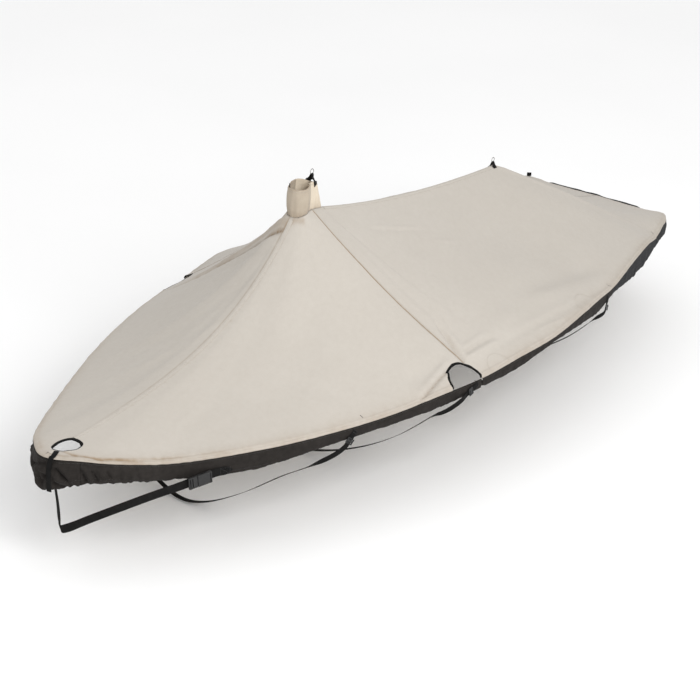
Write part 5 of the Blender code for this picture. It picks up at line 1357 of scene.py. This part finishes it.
def lifting_tabs():
    ridge, legs = ridge_point(1.0, PORT), []
    x = ridge[0] - RIDGE_TAB_WIDE / 2 - 0.002
    for side in (PORT, STARBOARD):
        leg = []
        for y in (0.0175, 0.0115):
            hit, normal = drop_on(TREES["aft", side], (x, y * side, 1.0))
            leg.append((hit + normal * GAP * 3.5, normal))
        for y, up, face in ((0.0066, 0.005, (0.0, side, 0.35)), (0.0042, 0.012, (0.0, side, 0.0))):
            leg.append((np.array((x, y * side, ridge[2] + up)), unit(np.array(face))))
        legs.append(leg)
    lifting_tab("webbing_ridge_tab", "ridge_tab", "ridge_ring", RIDGE_TAB_WIDE, legs,
                np.array((x, 0.0, ridge[2] + 0.020)))
    legs, t = [], 0.84
    for side in (PORT, STARBOARD):
        leg = []
        for up in (0.88, 1.0):
            spot = collar_point(t, side, up)
            along = collar_point(t + 0.05, side, up) - collar_point(t - 0.05, side, up)
            face = unit(np.array((along[1], -along[0], 0.0)))
            face = face * (1.0 if face[1] * side > 0 else -1.0)
            leg.append((spot + face * (CLOTH + GAP * 6), face))
        x, y, z = leg[-1][0]
        for spot_y, rise in ((y, 0.003), (y * 0.50, 0.010), (0.0038 * side, 0.018)):
            leg.append((np.array((x, spot_y, z + rise)), face))
        legs.append(leg)
        box_stitch(leg[0][0] + face * WEBBING + UP * 0.009, UP, face, 0.013, 0.020)
    lifting_tab("webbing_collar_tab", "collar_tab", "collar_ring", COLLAR_TAB_WIDE, legs,
                np.array((spot[0] + 0.002, 0.0, spot[2] + 0.032)))


def small_tabs():
    spot = collar_point(0.17, STARBOARD, 1.0, -WEBBING - GAP * 3)
    face = unit((spot - (SMOOTH_COLLAR[1, -1], 0.0, 0.0)) * (1, 1, 0))
    strap("webbing_collar_front", [spot - UP * 0.010, spot, spot + UP * 0.016], [face] * 3,
          FRONT_TAB_WIDE, step=0.004, replaces=["collar_front_tab"])
    foot, out, _ = edge_at_x(STARBOARD, 4.190)
    base = foot - out * LIP_INSET + UP * (LIP_HEIGHT + CLOTH * 1.85)
    angles = np.linspace(0, math.pi, 13)[:, None]
    loop = base + out * (0.0018 * np.cos(angles)) + UP * (0.018 * np.sin(angles))
    faces = unit(np.cross(np.cross(out, UP), np.gradient(loop, axis=0)))
    faces = faces if faces[6, 2] > 0 else -faces
    strap("webbing_quarter_tie", loop, faces, QUARTER_TIE_WIDE, step=0.003,
          replaces=["quarter_tie_tab"])


lifting_tabs()
small_tabs()


# ---------------------------------------------------------------- sewing on the canopy
EDGE_ROW, SHROUD_BREAK = -5, 0.115
# Half-round patches behind the cloth: centre x and half_breadth, length and depth.
PATCHES = ((1.905, 0.845, 0.062, 0.058), (2.715, 0.828, 0.085, 0.080))
DARK_BARS = (1.126, 3.011, 3.880)

for SIDE in (PORT, STARBOARD):
    for x, y, along, up in PATCHES:
        found = [drop_on(TREES["aft", SIDE], (x + along * math.cos(a), (y - up * math.sin(a)) * SIDE, 1.5))
                 for a in math.pi * np.arange(41) / 40]
        points, normals = (np.array(column) for column in zip(*(f for f in found if f[0] is not None)))
        add_row("canopy_stitches", points + normals * 0.0002, normals)
    for part in ("fore", "aft"):
        line = OUTERS[part, SIDE][:, EDGE_ROW]
        normals = grid_normals(OUTERS[part, SIDE], SIDE)[:, EDGE_ROW]
        keep = np.abs(line[:, 0] - SHROUD_X) > SHROUD_BREAK
        for piece in np.split(np.arange(len(line)), np.flatnonzero(np.diff(keep.astype(int))) + 1):
            if keep[piece[0]] and len(piece) > 3:
                add_row("canopy_stitches", line[piece], normals[piece])
for X in DARK_BARS:
    foot, out, _ = edge_at_x(PORT, X)
    for q in (-0.0012, 0.0, 0.0012):
        hit, normal = nearest_cloth(PORT, foot - out * 0.012 + UP * 0.03 + (q, 0, 0))
        rise = unit(np.cross(normal, (1.0, 0.0, 0.0))) * 0.009
        add_row("dark_stitches", (hit - rise, hit + rise), (normal, normal))

SEWING = {
    PALE_THREAD: ("centre_stitches_fore", "centre_stitches_aft", "side_stitches_port",
                  "side_stitches_starboard", "canopy_stitches", "collar_stitches"),
    DARK_THREAD: ("skirt_stitches", "strap_stitches", "dark_stitches"),
}
SEWN = {group: sew(group, thread) for thread, groups in SEWING.items() for group in groups}

for NODE in ("buckle_socket", "buckle_plug", "strap_adjuster_fore", "strap_adjuster_shroud",
             "strap_adjuster_stern"):
    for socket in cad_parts[NODE].material_slots:
        socket.link = "OBJECT"
        socket.material = PLASTIC


# ---------------------------------------------------------------- stage
FLOOR_REACH, FLOOR_DEPTH, STUDIO_LIGHT = 40.0, 0.004, 0.93
KEY_FROM, KEY_AT, KEY_SIZE, KEY_POWER = (-3.20, -6.10, 4.10), (-0.40, 0, -0.3), 4.0, 372.0
EYE = (-4.884, -4.823, 3.6308)
YAW, PITCH, ROLL = (math.radians(turn) for turn in (-54.89, 24.59, 2.932))
SENSOR_WIDE, LENS_LONG = 36.0, 103.23


def place(name, data, matrix=Matrix()):
    obj = bpy.data.objects.new(name, data)
    bpy.context.scene.collection.objects.link(obj)
    obj.matrix_world = matrix
    return obj


def stage():
    z = CAD_BOX[0][2] - FLOOR_DEPTH
    mesh = bpy.data.meshes.new("floor")
    corners = [(x * FLOOR_REACH, y * FLOOR_REACH, z) for x, y in ((-1, -1), (1, -1), (1, 1), (-1, 1))]
    mesh.from_pydata(corners, [], [(0, 1, 2, 3)])
    paper = Surface("floor_paper", {"Roughness": 0.9})
    tone = paper.spread(paper.noise(paper.place, 0.6, 2.0), 0.3, 0.7)
    mesh.materials.append(paper.finish(Base_Color=paper.blend(tone, (0.93,) * 3, (0.95,) * 3)))
    place("floor", mesh)
    world = bpy.data.worlds.new("studio")
    bpy.context.scene.world = world
    world.use_nodes = True
    back = world.node_tree.nodes["Background"]
    back.inputs["Color"].default_value = (1.0, 1.0, 1.0, 1.0)
    back.inputs["Strength"].default_value = STUDIO_LIGHT


def key_light():
    data = bpy.data.lights.new("key", "AREA")
    data.shape, data.size, data.energy = "SQUARE", KEY_SIZE, KEY_POWER
    start, target = Vector(KEY_FROM), Vector(KEY_AT)
    turn = (target - start).to_track_quat("-Z", "Y").to_matrix().to_4x4()
    place("key", data, Matrix.Translation(start) @ turn)


def camera():
    ahead = Vector((-math.sin(YAW) * math.cos(PITCH), math.cos(YAW) * math.cos(PITCH), -math.sin(PITCH)))
    level = ahead.cross(Vector(UP)).normalized()
    above = level.cross(ahead)
    right = math.cos(ROLL) * level + math.sin(ROLL) * above
    top = -math.sin(ROLL) * level + math.cos(ROLL) * above
    data = bpy.data.cameras.new("camera")
    data.sensor_width, data.lens, data.clip_end = SENSOR_WIDE, LENS_LONG, 200.0
    turn = Matrix((right, top, -ahead)).transposed().to_4x4()
    eye = Matrix.Translation(Vector(EYE) + Vector(BOAT))
    bpy.context.scene.camera = place("camera", data, eye @ turn)


stage()
key_light()
bpy.context.scene.view_settings.view_transform = "Standard"
camera()
low, high = CAD_BOX
